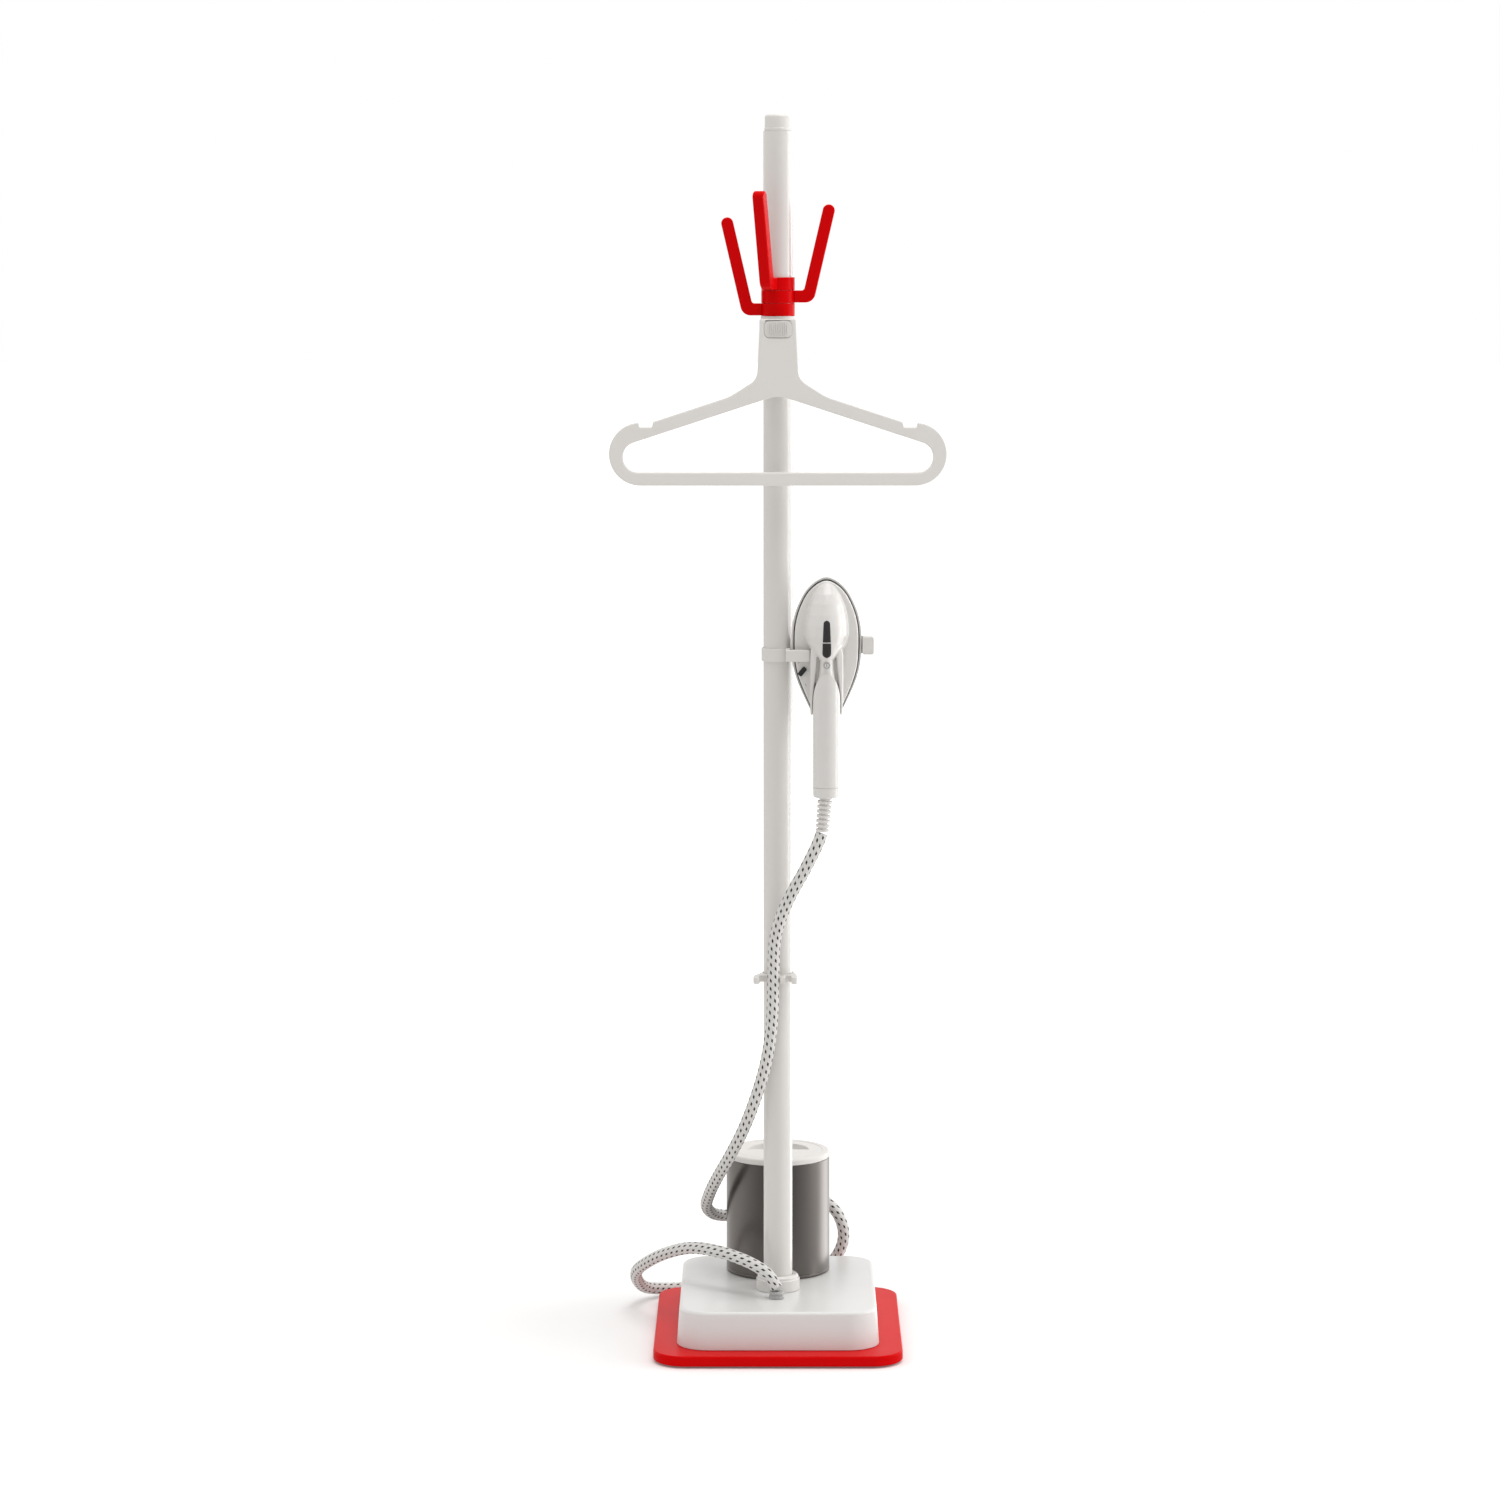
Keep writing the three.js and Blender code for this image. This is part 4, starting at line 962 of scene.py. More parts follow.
CARRIAGE = Sizes(inner=19.3, outer=20.9, bottom=1262, flange=1338, top=1343)
HOOK = Sizes(inner=19.3, outer=21.5, pitch=16.5, bar=15.4, width=14.8, elbow=39.4)
HOOK_TIP = Sizes(radius=65, height=117.8)
HOOK_AZIMUTHS = {"hook_lower": 180, "hook_middle": 0, "hook_upper": 249}


def add_carriage():
    inner, outer = CARRIAGE.inner, CARRIAGE.outer
    flange, top = CARRIAGE.flange, CARRIAGE.top
    sleeve = lathe("slide_sleeve", [
        (inner, CARRIAGE.bottom, 0.4), (outer, CARRIAGE.bottom, 0.6), (outer, flange),
        (outer + 1.1, flange, 0.3), (outer + 1.1, top, 0.5), (inner, top, 0.4),
    ])
    finished(sleeve, "carriage", WHITE_PLASTIC, "white_plastic", "carriage")


def hook_outline():
    """A hook's arm, drawn as radius from the pole against height above its ring's foot."""
    half, middle = HOOK.bar / 2, HOOK.pitch / 2
    start = HOOK.inner + 1
    tip = (HOOK_TIP.radius, HOOK_TIP.height)
    lean = math.atan2(tip[0] - HOOK.elbow, tip[1] - middle)
    along, across = (math.sin(lean), math.cos(lean)), (math.cos(lean), -math.sin(lean))

    def crossing(side, v):
        rise = v - middle - side * half * across[1]
        return HOOK.elbow + side * half * across[0] + rise * along[0] / along[1]

    low, high = middle - half, middle + half
    body = fillet([
        (start, high), (start, low), (crossing(1, low), low, 13),
        (tip[0] + half * across[0], tip[1] + half * across[1]),
    ], closed=False, steps=8)
    angle = math.degrees(lean)
    end = arc(tip, half, -angle, 180 - angle, 16)
    inside = fillet([
        (tip[0] - half * across[0], tip[1] - half * across[1]), (crossing(-1, high), high, 4),
        (start, high),
    ], closed=False, steps=6)
    return body[1:-1] + end + inside[1:]


def add_hooks():
    foot = CARRIAGE.top + GAP
    for name, azimuth in HOOK_AZIMUTHS.items():
        height = HOOK.pitch - GAP
        inner, outer, width = HOOK.inner, HOOK.outer, HOOK.width
        ring = lathe(
            name + "_arm",
            [(inner, 0, 0.3), (outer, 0, 0.5), (outer, height, 0.5), (inner, height, 0.3)], 0, 0,
        )
        arm = slab("arm", [hook_outline()], -width / 2, width / 2, 2.0)
        combine(ring, "UNION", arm)
        combine(ring, "DIFFERENCE", rod(inner, -5, 30, 0, 0))
        spin = Matrix.Rotation(math.radians(azimuth), 4, "Z")
        moved(ring, at(0, POLE_Y, foot) @ spin)
        finished(ring, name, RED_PLASTIC, "red_plastic", name)
        foot += HOOK.pitch


# ---------------------------------------------------------------- hanger

HANGER = Sizes(back=-32, thickness=12, top=1340.2, bevel=1.8)
BUTTON = Sizes(half=17, bottom=1316.6, top=1337.6, back=-36, proud=1.6)
ARM_END = Sizes(x=176, z=1168, radius=40.4)
ARM_HOLE = Sizes(x=179, z=1164, radius=19.5)
ARM_SLOPE = 0.327
STRAP_NOTCH = Sizes(start=161.2, end=177.2, floor=1202.6)


def mirrored(right):
    """A whole outline from its right half, which runs from the top middle to the bottom."""
    left = [(-x, z) for x, z in reversed(right) if x > 1e-6]
    return right + left


def hanger_outline():
    def arm_top(x):
        return 1209.6 + (159 - x) * ARM_SLOPE

    x, z, radius = ARM_END.x, ARM_END.z, ARM_END.radius
    floor = STRAP_NOTCH.floor
    right = fillet([
        (0, HANGER.top), (23, HANGER.top, 2.4), (26.8, 1263.5, 20), (62, arm_top(62), 60),
        (159.8, arm_top(159.8), 2.4), (STRAP_NOTCH.start, floor, 2.2),
        (STRAP_NOTCH.end, floor, 1.6), (178.4, z + radius - 0.1, 1.6), (182, z + radius - 0.4),
    ], closed=False, steps=7)
    return mirrored(right + arc((x, z), radius, 80, -90, 26))


def hanger_hole():
    x, z, radius = ARM_HOLE.x, ARM_HOLE.z, ARM_HOLE.radius
    lean = math.degrees(math.atan(1 / ARM_SLOPE))
    end_x = x + radius * math.cos(math.radians(lean))
    end_z = z + radius * math.sin(math.radians(lean))
    rise = end_z + end_x * ARM_SLOPE
    right = arc((x, z), radius, -90, lean, 24)
    crown = fillet([(end_x, end_z), (0, rise, 34), (-end_x, end_z)], closed=False, steps=10)[1:-1]
    left = [(-u, v) for u, v in reversed(right)]
    return right + crown + left


def add_hanger():
    front = HANGER.back - HANGER.thickness
    middle = (BUTTON.bottom + BUTTON.top) / 2
    size = (2 * BUTTON.half + 1, BUTTON.top - BUTTON.bottom + 1)
    hole = rounded_rectangle(*size, 6.7, 0, middle, steps=8)
    loops = [hanger_outline(), hanger_hole(), hole]
    hanger = slab("hanger_body", loops, row_y(front), row_y(HANGER.back), HANGER.bevel)
    finished(hanger, "hanger", HANGER_LIT_WHITE, "white_plastic", "hanger")

    inner, top = CARRIAGE.outer + GAP, CARRIAGE.flange - GAP
    collar = lathe("hanger_sleeve", [
        (inner, 1264, 0.4), (inner + 2.6, 1264, 0.8), (inner + 2.6, top, 0.8), (inner, top, 0.4),
    ])
    boss = block("boss", (-13, 13), (row_y(HANGER.back + GAP), row_y(-15)), (1268, 1334), 1.2)
    combine(collar, "UNION", boss)
    pocket = block("pocket", (-11, 11), (row_y(-40), row_y(-27)), (1314, 1340), 0.4)
    combine(collar, "DIFFERENCE", pocket, rod(inner, 1260, CARRIAGE.top))
    finished(collar, "hanger", WHITE_PLASTIC, "white_plastic", "hanger_collar")


def add_release_button():
    front = HANGER.back - HANGER.thickness
    middle = (BUTTON.bottom + BUTTON.top) / 2
    size = (2 * BUTTON.half, BUTTON.top - BUTTON.bottom)
    outline = rounded_rectangle(*size, 6.2, 0, middle, steps=8)
    face = row_y(front - BUTTON.proud + 1.3)
    button = slab("button_face", [outline], face, row_y(BUTTON.back), 0.7)
    ribs = 11
    for k in range(ribs):
        x = (k - (ribs - 1) / 2) * 2.4
        reach = 8.4 - max(0.0, abs(x) - 10.8) * 1.4
        rib = block(
            "rib", (x - 0.62, x + 0.62), (row_y(front - BUTTON.proud), face + 1),
            (middle - reach, middle + reach), 0.4,
        )
        combine(button, "UNION", rib)
    finished(button, "release_button", WHITE_PLASTIC, "white_plastic", "release_button")


# ---------------------------------------------------------------- water tank

TANK = Sizes(radius=69, wall=2.5, bottom=66.5, floor=80, top=221)
LID = Sizes(top=229.5, plug=63, recess=41, floor=219, wall=2.5)


def add_tank():
    radius, wall, bottom = TANK.radius, TANK.wall, TANK.bottom
    inner, floor, top = radius - wall, TANK.floor, TANK.top
    body = lathe("tank_can", [
        (9, floor), (13, floor), (13, bottom + 2), (radius - 5, bottom + 2, 0.5),
        (radius - 5, bottom, 0.5), (radius, bottom, 1.6), (radius, bottom + 3.4, 0.3),
        (radius - 0.5, bottom + 3.9, 0.2), (radius - 0.5, bottom + 4.5, 0.2), (radius, bottom + 5, 0.3),
        (radius, top, 0.6), (inner, top, 0.4), (inner, floor + wall, 3), (9, floor + wall, 0.5),
    ], y=TANK_Y, segments=128)
    finished(body, "tank", TANK_METAL, "tank_grey", "tank_body")

    seat = floor + wall + GAP
    valve = lathe("outlet_valve", [
        (0, 74), (3, 74, 0.5), (3, floor - 2), (8, floor, 0.3), (8, seat), (12, seat, 0.3),
        (12, seat + 2.5, 0.5), (3, seat + 2.5), (3, seat + 18, 0.8), (0, seat + 18),
    ], y=TANK_Y, segments=48)
    finished(valve, "tank_valve", DARK_GLOSS, "dark_plastic", "tank_valve")


def half_disc(name, levels):
    """Half a disc, flat side to the front, from (z, radius) levels."""
    rings = []
    for z, radius in levels:
        loop = arc((0, TANK_Y), radius, 0, 180, 40)
        flat = LID.recess - radius
        rings.append([(x, y + flat, z) for x, y in loop])
    return loft(name, rings)


def add_lid():
    top, plug, recess, floor = LID.top, LID.plug, LID.recess, LID.floor
    seat, radius = TANK.top + GAP, TANK.radius
    lid = lathe("lid", [
        (0, 213), (plug, 213, 0.6), (plug, seat), (radius, seat, 0.5), (radius, top, 3.2),
        (radius - 9, top, 0.5), (radius - 10, top - 0.9, 0.5), (radius - 11, top - 0.9, 0.5),
        (radius - 12.5, top - 0.2, 0.4), (0, top - 0.2),
    ], y=TANK_Y, segments=128)
    wall = LID.wall
    hollow = rod(plug - wall, 212, top - 3, 0, TANK_Y, 64)
    pocket = half_disc("wall", [(floor - wall, recess + wall), (top, recess + wall)])
    combine(hollow, "DIFFERENCE", pocket)
    combine(lid, "DIFFERENCE", hollow)
    levels = [(floor, recess - wall), (floor + 0.7, recess - 0.9), (floor + 2.5, recess),
              (top - 2.0, recess), (top - 0.9, recess + 0.5), (top + 0.6, recess + 1.6)]
    combine(lid, "DIFFERENCE", half_disc("recess", levels))
    finished(lid, "tank_lid", WHITE_PLASTIC, "white_plastic", "tank_lid")

    low, high = 215, 218.5
    seal = lathe("lid_ring", [
        (plug + GAP, low, 0.5), (plug + 3, low, 1.2), (plug + 3, high, 1.2), (plug + GAP, high, 0.5),
    ], y=TANK_Y, segments=128)
    finished(seal, "tank_lid", SEAL_GREY, "seal_grey", "lid_seal")


# ---------------------------------------------------------------- handset

SOLE_HALF = [
    (18, 831), (24.5, 845), (32.5, 862), (39.5, 880), (43.2, 895), (45, 912), (45.4, 930),
    (43.6, 950), (37.5, 971), (25.5, 993), (13.5, 1004), (5, 1008.4),
]
SOLE_CENTRE_Z = 925
SOLE_TIP_Z = 1009
HANDLE = Sizes(depth=-50, radius=17.5, wall=2.5, seam=739.5, bottom=726.5, side_top=850)
ARCH = 38  # how far the handle's front reaches above its sides


def sole_loop(inset=0.0):
    """The soleplate's pointed oval, drawn in by `inset` towards its middle."""
    side = smooth_route([(w, z, 0) for w, z in SOLE_HALF], steps=5)
    half = [(p[0], p[1]) for p in side] + [(0.0, SOLE_TIP_Z)]
    loop = half + [(-x, z) for x, z in reversed(half[:-1])]
    made = []
    for x, z in loop:
        scale = 1 - inset / math.hypot(x, z - SOLE_CENTRE_Z)
        made.append((HANDSET_X + x * scale, SOLE_CENTRE_Z + (z - SOLE_CENTRE_Z) * scale))
    return made


def sole_layers(name, levels):
    """A solid through sole outlines; levels are (depth, inset) pairs."""
    rings = [[(x, row_y(depth), z) for x, z in sole_loop(inset)] for depth, inset in levels]
    return loft(name, rings)


def add_sole():
    back, front, skirt = SOLE.back, SOLE.front, SOLE.skirt
    plate_body = sole_layers("sole", [
        (back, 3.4), (back - 0.3, 2.5), (back - 0.9, 1.9), (back - 2, 1.6), (front, 1.6),
    ])
    spots = [(x, z) for z in (885, 905, 925, 945, 962) for x in (-20, -9, 9, 20)]
    spots += [(-30, 905), (30, 905), (-30, 925), (30, 925), (0, 980), (-8, 975), (8, 975)]
    for x, z in spots:
        vent = lathe("vent", [(0, -1), (1.9, -1), (1.4, 0.6), (1.4, 2), (0, 2)], 0, 0, 16)
        combine(plate_body, "DIFFERENCE", moved(vent, facing(HANDSET_X + x, back, z)))
    finished(plate_body, "handset", SOLE_STEEL_SHADED, "steel", "soleplate")

    top = front - GAP
    edge = sole_layers("sole_skirt", [
        (top, 1.0), (top - 0.3, 0.3), (top - 1, 0), (skirt + 0.9, 0), (skirt + 0.35, 0.2),
        (skirt, 0.7), (skirt, 1.8),
    ])
    combine(edge, "DIFFERENCE", sole_layers("hole", [(front + 5, 9), (skirt - 5, 9)]))
    finished(edge, "handset", WHITE_GLOSS, "white_plastic", "skirt")

    low, high = skirt - GAP, skirt - GAP - 1.5
    seam = sole_layers("seam_gasket", [(low, 2.9), (low - 0.2, 2.7), (high + 0.4, 2.7), (high, 3.0)])
    combine(seam, "DIFFERENCE", sole_layers("hole", [(low + 5, 9), (high - 5, 9)]))
    finished(seam, "handset", GASKET_GREY, "foot_rubber", "gasket")


def dome_body():
    """The raised middle of the housing, through level sections that end at the saddle."""
    sections = [
        (900, 9, 33), (902.5, 11, 37), (906, 14, 39.2), (911, 18, 40.1), (917, 21.8, 40.4),
        (924, 26, 40.2), (934, 28.5, 39.4), (948, 28.5, 37), (962, 26.5, 32.5), (976, 22.6, 26),
        (988, 17.5, 18.5), (997, 11.5, 11), (1003, 5, 4),
    ]
    rings = []
    for z, half, height in sections:
        loop = [(HANDSET_X + half * math.sin(t), row_y(-27 - height * math.cos(t)), z)
                for t in (math.pi * (k / 24 - 0.5) for k in range(25))]
        back = [(HANDSET_X + half, row_y(-24), z), (HANDSET_X - half, row_y(-24), z)]
        rings.append(loop + back)
    return loft("dome", rings)


def flank(side):
    """The wall beside the handle: broad at the dome, thin at the heel."""
    sections = [
        (831, 18.3, 20.4, -38), (836, 18.2, 20.9, -42), (850, 17.9, 21.0, -49),
        (865, 16.6, 21.0, -53.5), (880, 14.8, 21.0, -56.2), (895, 13.4, 21.0, -57.2),
        (908, 12.8, 21.0, -57), (916, 14, 20.4, -56), (919, 15.5, 19.4, -54.5),
    ]
    rings = []
    for z, inner, outer, front in sections:
        corners = [(inner, -28), (inner, front, 1.2), (outer, front + 2.5, 2.2), (outer, -28)]
        loop = fillet(corners, steps=4)
        rings.append([(HANDSET_X + side * u, row_y(v), z) for u, v in loop])
    return loft("flank", rings)


def handle_envelope(radius, low, high_side, arch):
    """The handle's outside with its arched top, as a solid."""
    rings = []
    steps = 64
    for level in np.linspace(0, 1, 24):
        ring = []
        for k in range(steps):
            angle = 2 * math.pi * k / steps
            front = max(0.0, -math.sin(angle))
            top = high_side + arch * front
            ring.append((HANDSET_X + radius * math.cos(angle),
                         row_y(HANDLE.depth) + radius * math.sin(angle),
                         low + (top - low) * level))
        rings.append(ring)
    return loft("envelope", rings)


def add_housing():
    """Panel, dome, neck and flanks melted into one moulded skin, then cut to its neighbours."""
    base = SOLE.skirt - GAP - 1.5 - GAP
    housing = sole_layers("housing", [
        (base, 4.2), (base - 1.6, 4.2), (base - 3.0, 4.9), (base - 3.8, 6.2), (base - 4.3, 9.4),
        (base - 4.8, 15), (base - 5.4, 22),
    ])
    axis_y = row_y(HANDLE.depth)
    neck = loft("neck", [
        [(HANDSET_X + half * math.cos(t), axis_y + 14.5 * math.sin(t), z)
         for t in (2 * math.pi * k / 48 for k in range(48))]
        for z, half in ((858, 14.5), (868, 13.6), (876, 12.2), (884, 10.6), (892, 9.6), (906, 9.0))
    ])
    web = block("web", (HANDSET_X - 14, HANDSET_X + 14), (axis_y, row_y(base - 3)), (846, 908), 2)
    joined(housing, dome_body(), neck, web, flank(-1), flank(1))
    fused(housing, 0.7, 8)
    hollow = loft("hollow", [
        [(HANDSET_X + half * math.cos(t), row_y(-20 - height * max(0, math.sin(t))), z)
         for t in (2 * math.pi * k / 32 for k in range(32))]
        for z, half, height in (
            (912, 10, 30), (925, 22, 42), (950, 22, 41), (970, 17, 33), (985, 9, 20))
    ])
    combine(housing, "DIFFERENCE", hollow)
    envelope = handle_envelope(HANDLE.radius + GAP, 690, HANDLE.side_top + GAP, ARCH)
    combine(housing, "DIFFERENCE", envelope)
    return housing


def on_surface(tree, x, z):
    """The depth of the housing's front at (x, z), in millimetres."""
    hit = tree.ray_cast(Vector((x * MM, -0.3, z * MM)), Vector((0, 1, 0)))[0]
    return hit.y / MM


def inlay(name, tree, strips, proud, depth):
    """A thin plate that follows the housing: strips are (z, left, right) rows."""
    columns = 8
    front, back = [], []
    for z, left, right in strips:
        for k in range(columns + 1):
            x = left + (right - left) * k / columns
            y = on_surface(tree, x, z)
            edge = 0.25 if k in (0, columns) else 0.0
            front.append((x, y - proud + edge, z))
            back.append((x, y + depth, z))
    count, row = len(front), columns + 1
    faces = []
    for r in range(len(strips) - 1):
        for k in range(columns):
            a = r * row + k
            faces.append((a, a + 1, a + row + 1, a + row))
            faces.append((count + a, count + a + row, count + a + row + 1, count + a + 1))
    last = (len(strips) - 1) * row
    for k in range(columns):
        faces.append((k, count + k, count + k + 1, k + 1))
        faces.append((last + k, last + k + 1, count + last + k + 1, count + last + k))
    for r in range(len(strips) - 1):
        for k in (0, columns):
            a = r * row + k
            faces.append((a, a + row, count + a + row, count + a))
    return piece(name, front + back, faces)


def pill(low, high, half_low, half_high, round_low, round_high, steps=8):
    """Rows of a tapered pill, rounded at either end where asked."""
    rows = []
    for k in range(3 * steps + 1):
        z = low + (high - low) * k / (3 * steps)
        half = half_low + (half_high - half_low) * (z - low) / (high - low)
        if round_low and z - low < half_low:
            half *= math.sqrt(max(0.02, 1 - ((half_low - (z - low)) / half_low) ** 2))
        if round_high and high - z < half_high:
            half *= math.sqrt(max(0.02, 1 - ((half_high - (high - z)) / half_high) ** 2))
        rows.append((z, HANDSET_X - half, HANDSET_X + half))
    return rows


WINDOW = Sizes(bottom=908.5, split=927, top=956, gap=1.4, half_low=5.75, half_high=4)


def add_handset_front():
    housing = add_housing()
    tree = BVHTree.FromPolygons(
        [v.co for v in housing.data.vertices], [p.vertices for p in housing.data.polygons]
    )
    split, gap = WINDOW.split, WINDOW.gap
    lower = inlay("window", tree, pill(WINDOW.bottom, split, WINDOW.half_low, 5.4, True, False),
                  0.45, 1.4)
    upper = inlay("pane", tree, pill(split + gap, WINDOW.top, 5.2, WINDOW.half_high, False, True),
                  0.45, 1.4)
    joined(lower, upper)
    finished(lower, "handset", DARK_GLOSS, "dark_plastic", "indicator_window")
    marks = []
    for x, z, tilt in ((26.5, 899.5, 35), (36.5, 870, -60)):
        rows = [(z - 1.6, x - 0.3, x + 0.3), (z + 1.6, x + tilt / 50 - 0.3, x + tilt / 50 + 0.3)]
        marks.append(inlay("dial_marks", tree, rows, 0.12, 0.6))
    dial = joined(*marks)
    finished(dial, "handset", MARK_GREY, "seal_grey")
    power_seat(housing)
    finished(housing, "handset", WHITE_GLOSS, "white_plastic", "upper_housing")


POWER = Sizes(z=898.5, radius=4.3, seat=-55.8)
LEVER = Sizes(x=33, z=889.5, tilt=40, pin=2)
TRIGGER = Sizes(half=6, bottom=772, top=824)


def power_seat(housing):
    radius = POWER.radius + GAP
    bore = moved(rod(radius, -1, 30, 0, 0, 48), facing(HANDSET_X, POWER.seat + 0.8, POWER.z))
    pivot = rod(LEVER.pin + GAP, 0, 20, 0, 0, 24)
    moved(pivot, facing(LEVER.x, SOLE.skirt + 5, LEVER.z))
    combine(housing, "DIFFERENCE", bore, pivot)


def add_controls():
    radius, height = POWER.radius, 9.6
    button = lathe("power_key", [
        (0, 0), (radius, 0), (radius, height, 0.35), (0, height),
    ], 0, 0, 48)
    moved(button, facing(HANDSET_X, POWER.seat, POWER.z))
    finished(button, "power_button", WHITE_GLOSS, "white_plastic", "power_button")
    rim = lathe("power_mark", [
        (3.0, height - 0.3), (3.65, height - 0.3), (3.65, height + 0.12, 0.05),
        (3.0, height + 0.12, 0.05),
    ], 0, 0, 48)
    bar = slab("bar", [rounded_rectangle(0.8, 3.4, 0.3, 0, 0.1)], height - 0.3, height + 0.12,
               0.05, upright=False)
    icon = joined(rim, bar)
    moved(icon, facing(HANDSET_X, POWER.seat, POWER.z))
    finished(icon, "power_button", MARK_GREY, "seal_grey")

    paddle = slab("selector", [rounded_rectangle(6.4, 13, 2, 0, -2.5)], 0, 3, 0.7, upright=False)
    ridge = slab("ridge", [rounded_rectangle(1.2, 9, 0.6, 0, -3)], 2.5, 3.6, 0.4, upright=False)
    pin = lathe("pin", [(0, -6), (LEVER.pin, -6, 0.4), (LEVER.pin, 1), (0, 1)], 0, 0, 32)
    combine(paddle, "UNION", ridge, pin)
    tilt = Matrix.Rotation(math.radians(-LEVER.tilt), 4, "Z")
    moved(paddle, facing(LEVER.x, SOLE.panel - GAP, LEVER.z) @ tilt)
    finished(paddle, "steam_lever", DARK_GLOSS, "dark_plastic", "steam_lever")

    back = row_y(HANDLE.depth + HANDLE.radius)
    half, low, high = TRIGGER.half, TRIGGER.bottom, TRIGGER.top
    outline = rounded_rectangle(2 * half, high - low, 5, HANDSET_X, (low + high) / 2)
    trigger = slab("trigger_key", [outline], back - 8, back + 3.5, 2.2)
    finished(trigger, "steam_trigger", WHITE_PLASTIC, "white_plastic", "steam_trigger")


def add_handle():
    radius, wall, seam = HANDLE.radius, HANDLE.wall, HANDLE.seam + GAP
    axis_y = row_y(HANDLE.depth)
    side_top = HANDLE.side_top
    shell = handle_envelope(radius, seam, side_top - GAP, ARCH)
    inner = handle_envelope(radius - wall, seam - 20, side_top + 20, ARCH)
    combine(shell, "DIFFERENCE", inner)
    edge = shell.modifiers.new("edge", "BEVEL")
    edge.width = 0.5 * MM
    edge.segments = 2
    edge.limit_method = "ANGLE"
    edge.angle_limit = math.radians(50)
    baked(shell)
    front = shell
    rear = bpy.data.objects.new("handle_back", shell.data.copy())
    bpy.context.scene.collection.objects.link(rear)
    front.name = "handle_face"
    behind = block("cut", (20, 110), (axis_y - GAP / 2, axis_y + 40), (690, 960), 0.05)
    ahead = block("cut", (20, 110), (axis_y - 40, axis_y + GAP / 2), (690, 960), 0.05)
    combine(front, "DIFFERENCE", behind)
    combine(rear, "DIFFERENCE", ahead)
    half, low, high = TRIGGER.half + 0.6, TRIGGER.bottom - 1.5, TRIGGER.top + 1.5
    outline = rounded_rectangle(2 * half, high - low, 5.5, HANDSET_X, (low + high) / 2)
    combine(rear, "DIFFERENCE", slab("slot", [outline], axis_y + 2, axis_y + 30))
    finished(front, "handset", WHITE_GLOSS, "white_plastic", "handle_front")
    finished(rear, "handset", WHITE_GLOSS, "white_plastic", "handle_rear")

    bottom, seam = HANDLE.bottom, HANDLE.seam
    cap = lathe("grip_cap", [
        (12.2, bottom, 0.6), (radius - 0.4, bottom, 3.4), (radius, seam, 0.35), (12.2, seam),
    ], HANDSET_X, axis_y)
    finished(cap, "handset", WHITE_GLOSS, "white_plastic", "handle_cap")


def add_boot():
    """The ribbed strain relief, leaning with the hose."""
    start = Vector((HANDSET_X, row_y(HANDLE.depth), HANDLE.seam + 4))
    end = Vector((57, row_y(HANDLE.depth), 682))
    length = (end - start).length
    profile = [(4.2, 0), (10, 0, 0.4)]
    at = start.z - HANDLE.bottom + 2
    while at + 4 < length:
        radius = 10 - 1.4 * at / length
        profile += [(radius, at, 0.3), (radius - 2.9, at + 0.3, 0.3),
                    (radius - 2.9, at + 2.5, 0.3), (radius, at + 2.8, 0.3)]
        at += 6.2
    profile += [(8.6, length, 0.8), (4.2, length, 0.5)]
    boot = lathe("strain_boot", profile, 0, 0, 64)
    aim = (end - start).to_track_quat("Z", "Y").to_matrix().to_4x4()
    moved(boot, Matrix.Translation(start * MM) @ aim)
    finished(boot, "handset", WHITE_PLASTIC, "white_plastic", "hose_boot")


# ---------------------------------------------------------------- springs


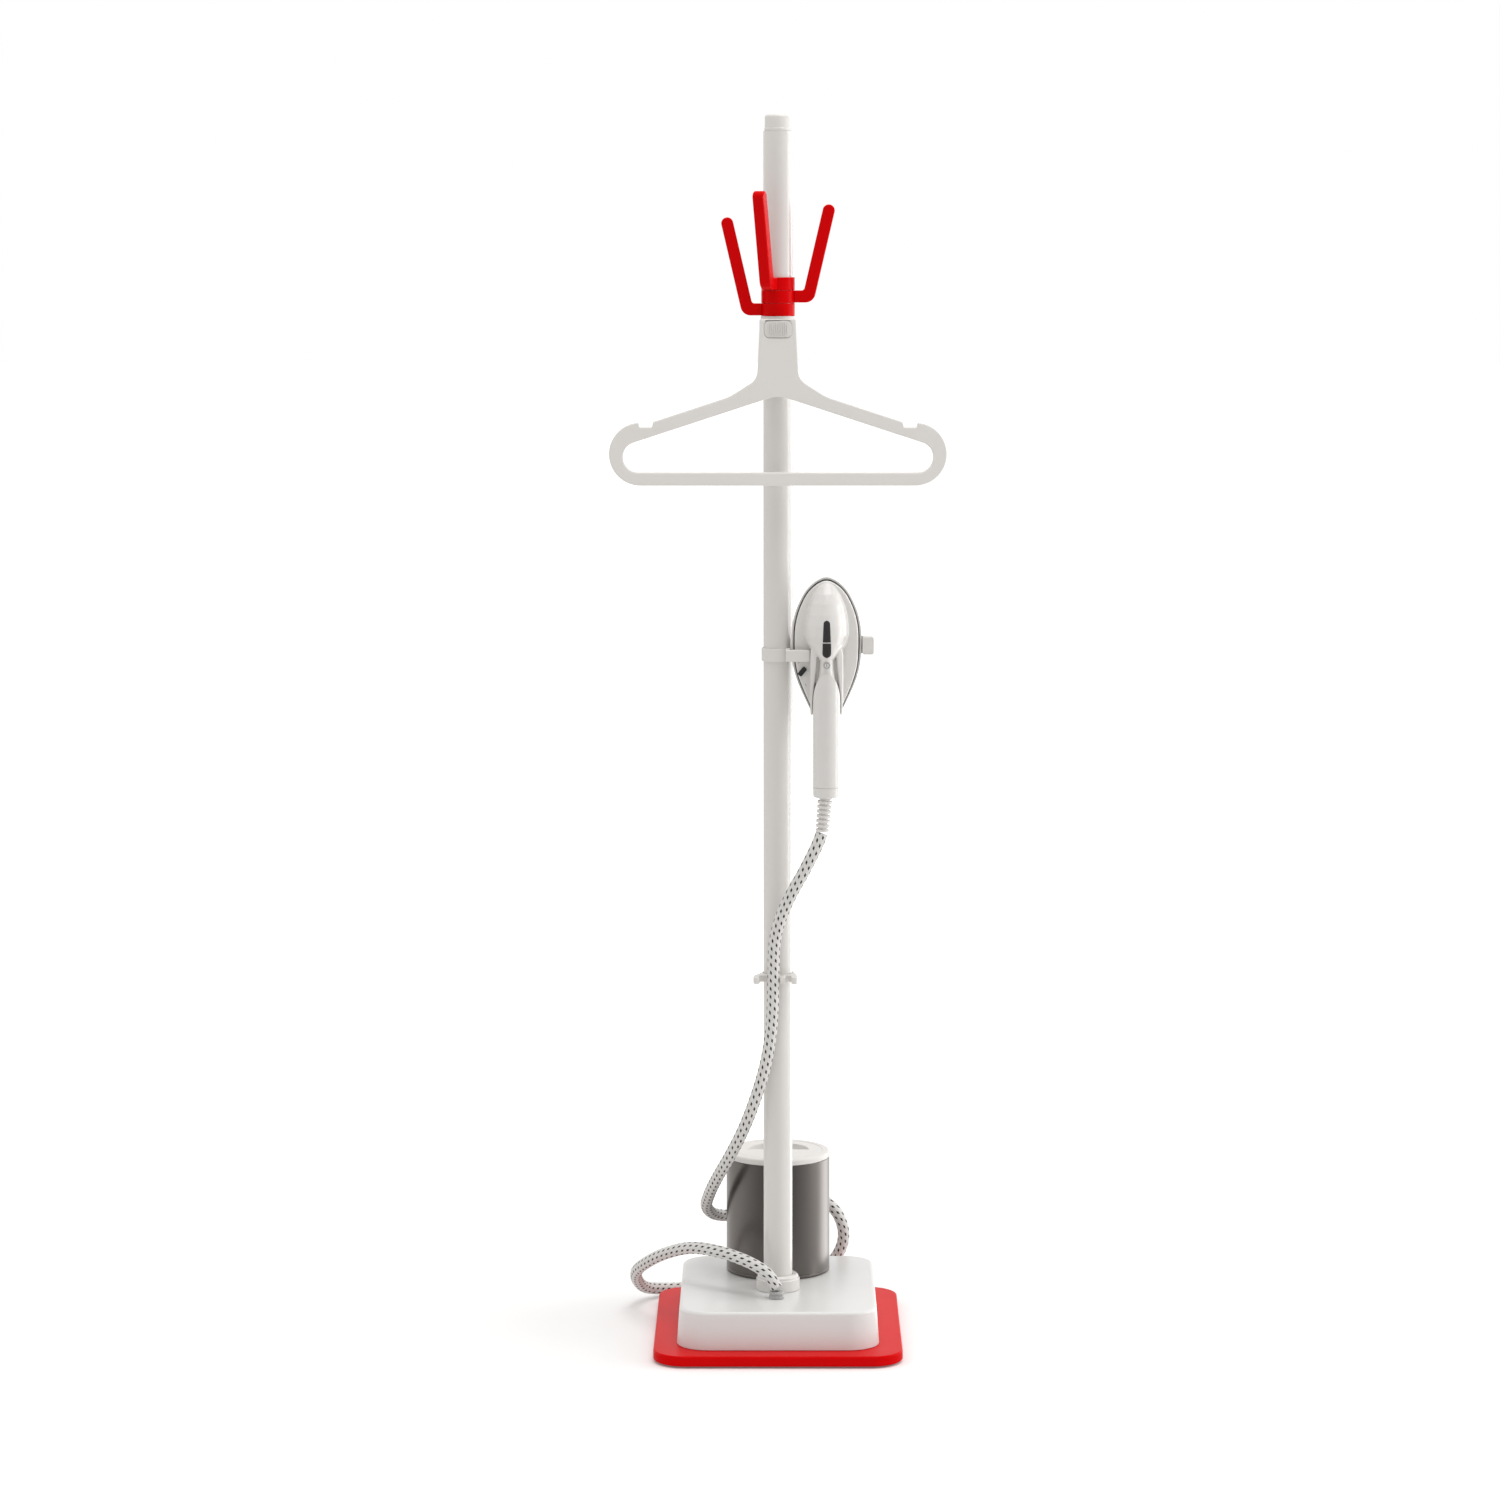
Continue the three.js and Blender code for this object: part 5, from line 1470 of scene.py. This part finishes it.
def coil(name, radius, wire, length, turns, sides=10, steps=24):
    """A coil spring standing on Z = 0."""
    verts, faces = [], []
    count = turns * steps
    for k in range(count + 1):
        turn = 2 * math.pi * k / steps
        z = wire + (length - 2 * wire) * k / count
        for s in range(sides):
            around = 2 * math.pi * s / sides
            reach = radius + wire * math.cos(around)
            verts.append((reach * math.cos(turn), reach * math.sin(turn),
                          z + wire * math.sin(around)))
    for k in range(count):
        for s in range(sides):
            t = (s + 1) % sides
            faces.append((k * sides + s, (k + 1) * sides + s, (k + 1) * sides + t, k * sides + t))
    faces.append(tuple(range(sides)))
    faces.append(tuple(count * sides + s for s in reversed(range(sides))))
    return piece(name, verts, faces)


def add_springs():
    """Coil springs for the release button and the tank's valve."""
    height = (BUTTON.bottom + BUTTON.top) / 2
    seat = -27 - GAP
    fixed = row_y(seat)
    free = row_y(BUTTON.back + GAP)
    spring = coil("button_coil", 4.5, 0.6, fixed - free, 3)
    moved(spring, facing(0, seat, height))
    finished(spring, "hanger", STEEL, "steel", "button_spring")
    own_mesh(spring)

    low, length = 85.6, 14
    spring = coil("valve_coil", 6, 0.7, length, 4)
    moved(spring, at(0, TANK_Y, low))
    finished(spring, "tank", STEEL, "steel", "valve_spring")
    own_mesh(spring)


# ---------------------------------------------------------------- carried-over CAD pieces

KEPT = {
    "ballast_plate": STEEL, "boiler": ALUMINIUM, "boiler_element": STEEL,
    "water_pump": FOOT_RUBBER, "steam_valve": BRASS, "control_board": BOARD_GREEN,
    "tank_dock": SEAL_GREY, "steam_pipe": SEAL_GREY, "water_pipe": SMOKE, "pole_bolt": STEEL,
    "spigot_lower": ALUMINIUM, "spigot_upper": ALUMINIUM, "clamp_screw": STEEL,
    "steam_block": ALUMINIUM,
}


def dress_kept_nodes():
    for name, material in KEPT.items():
        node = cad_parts[name]
        for slot in node.material_slots:
            slot.material = material
        if not node.material_slots:
            node.data.materials.append(material)


# ---------------------------------------------------------------- the scene

add_tray()
add_cover()
add_gland()
add_socket_and_connector()
add_pole()
add_hose_guide()
add_cradle()
add_carriage()
add_hooks()
add_hanger()
add_release_button()
add_tank()
add_lid()
add_sole()
add_handset_front()
add_controls()
add_handle()
add_boot()
add_springs()
dress_kept_nodes()

add_world()
add_floor()
add_lamp("right_softbox", (3.1, 0.10, 1.3), (0, 0, 0.85), (1.2, 2.8), 34)
add_lamp("top_softbox", (0.3, -0.4, 4.0), (0, 0, 0.3), (2.2, 2.2), 50)

bpy.context.scene.view_settings.view_transform = "Standard"
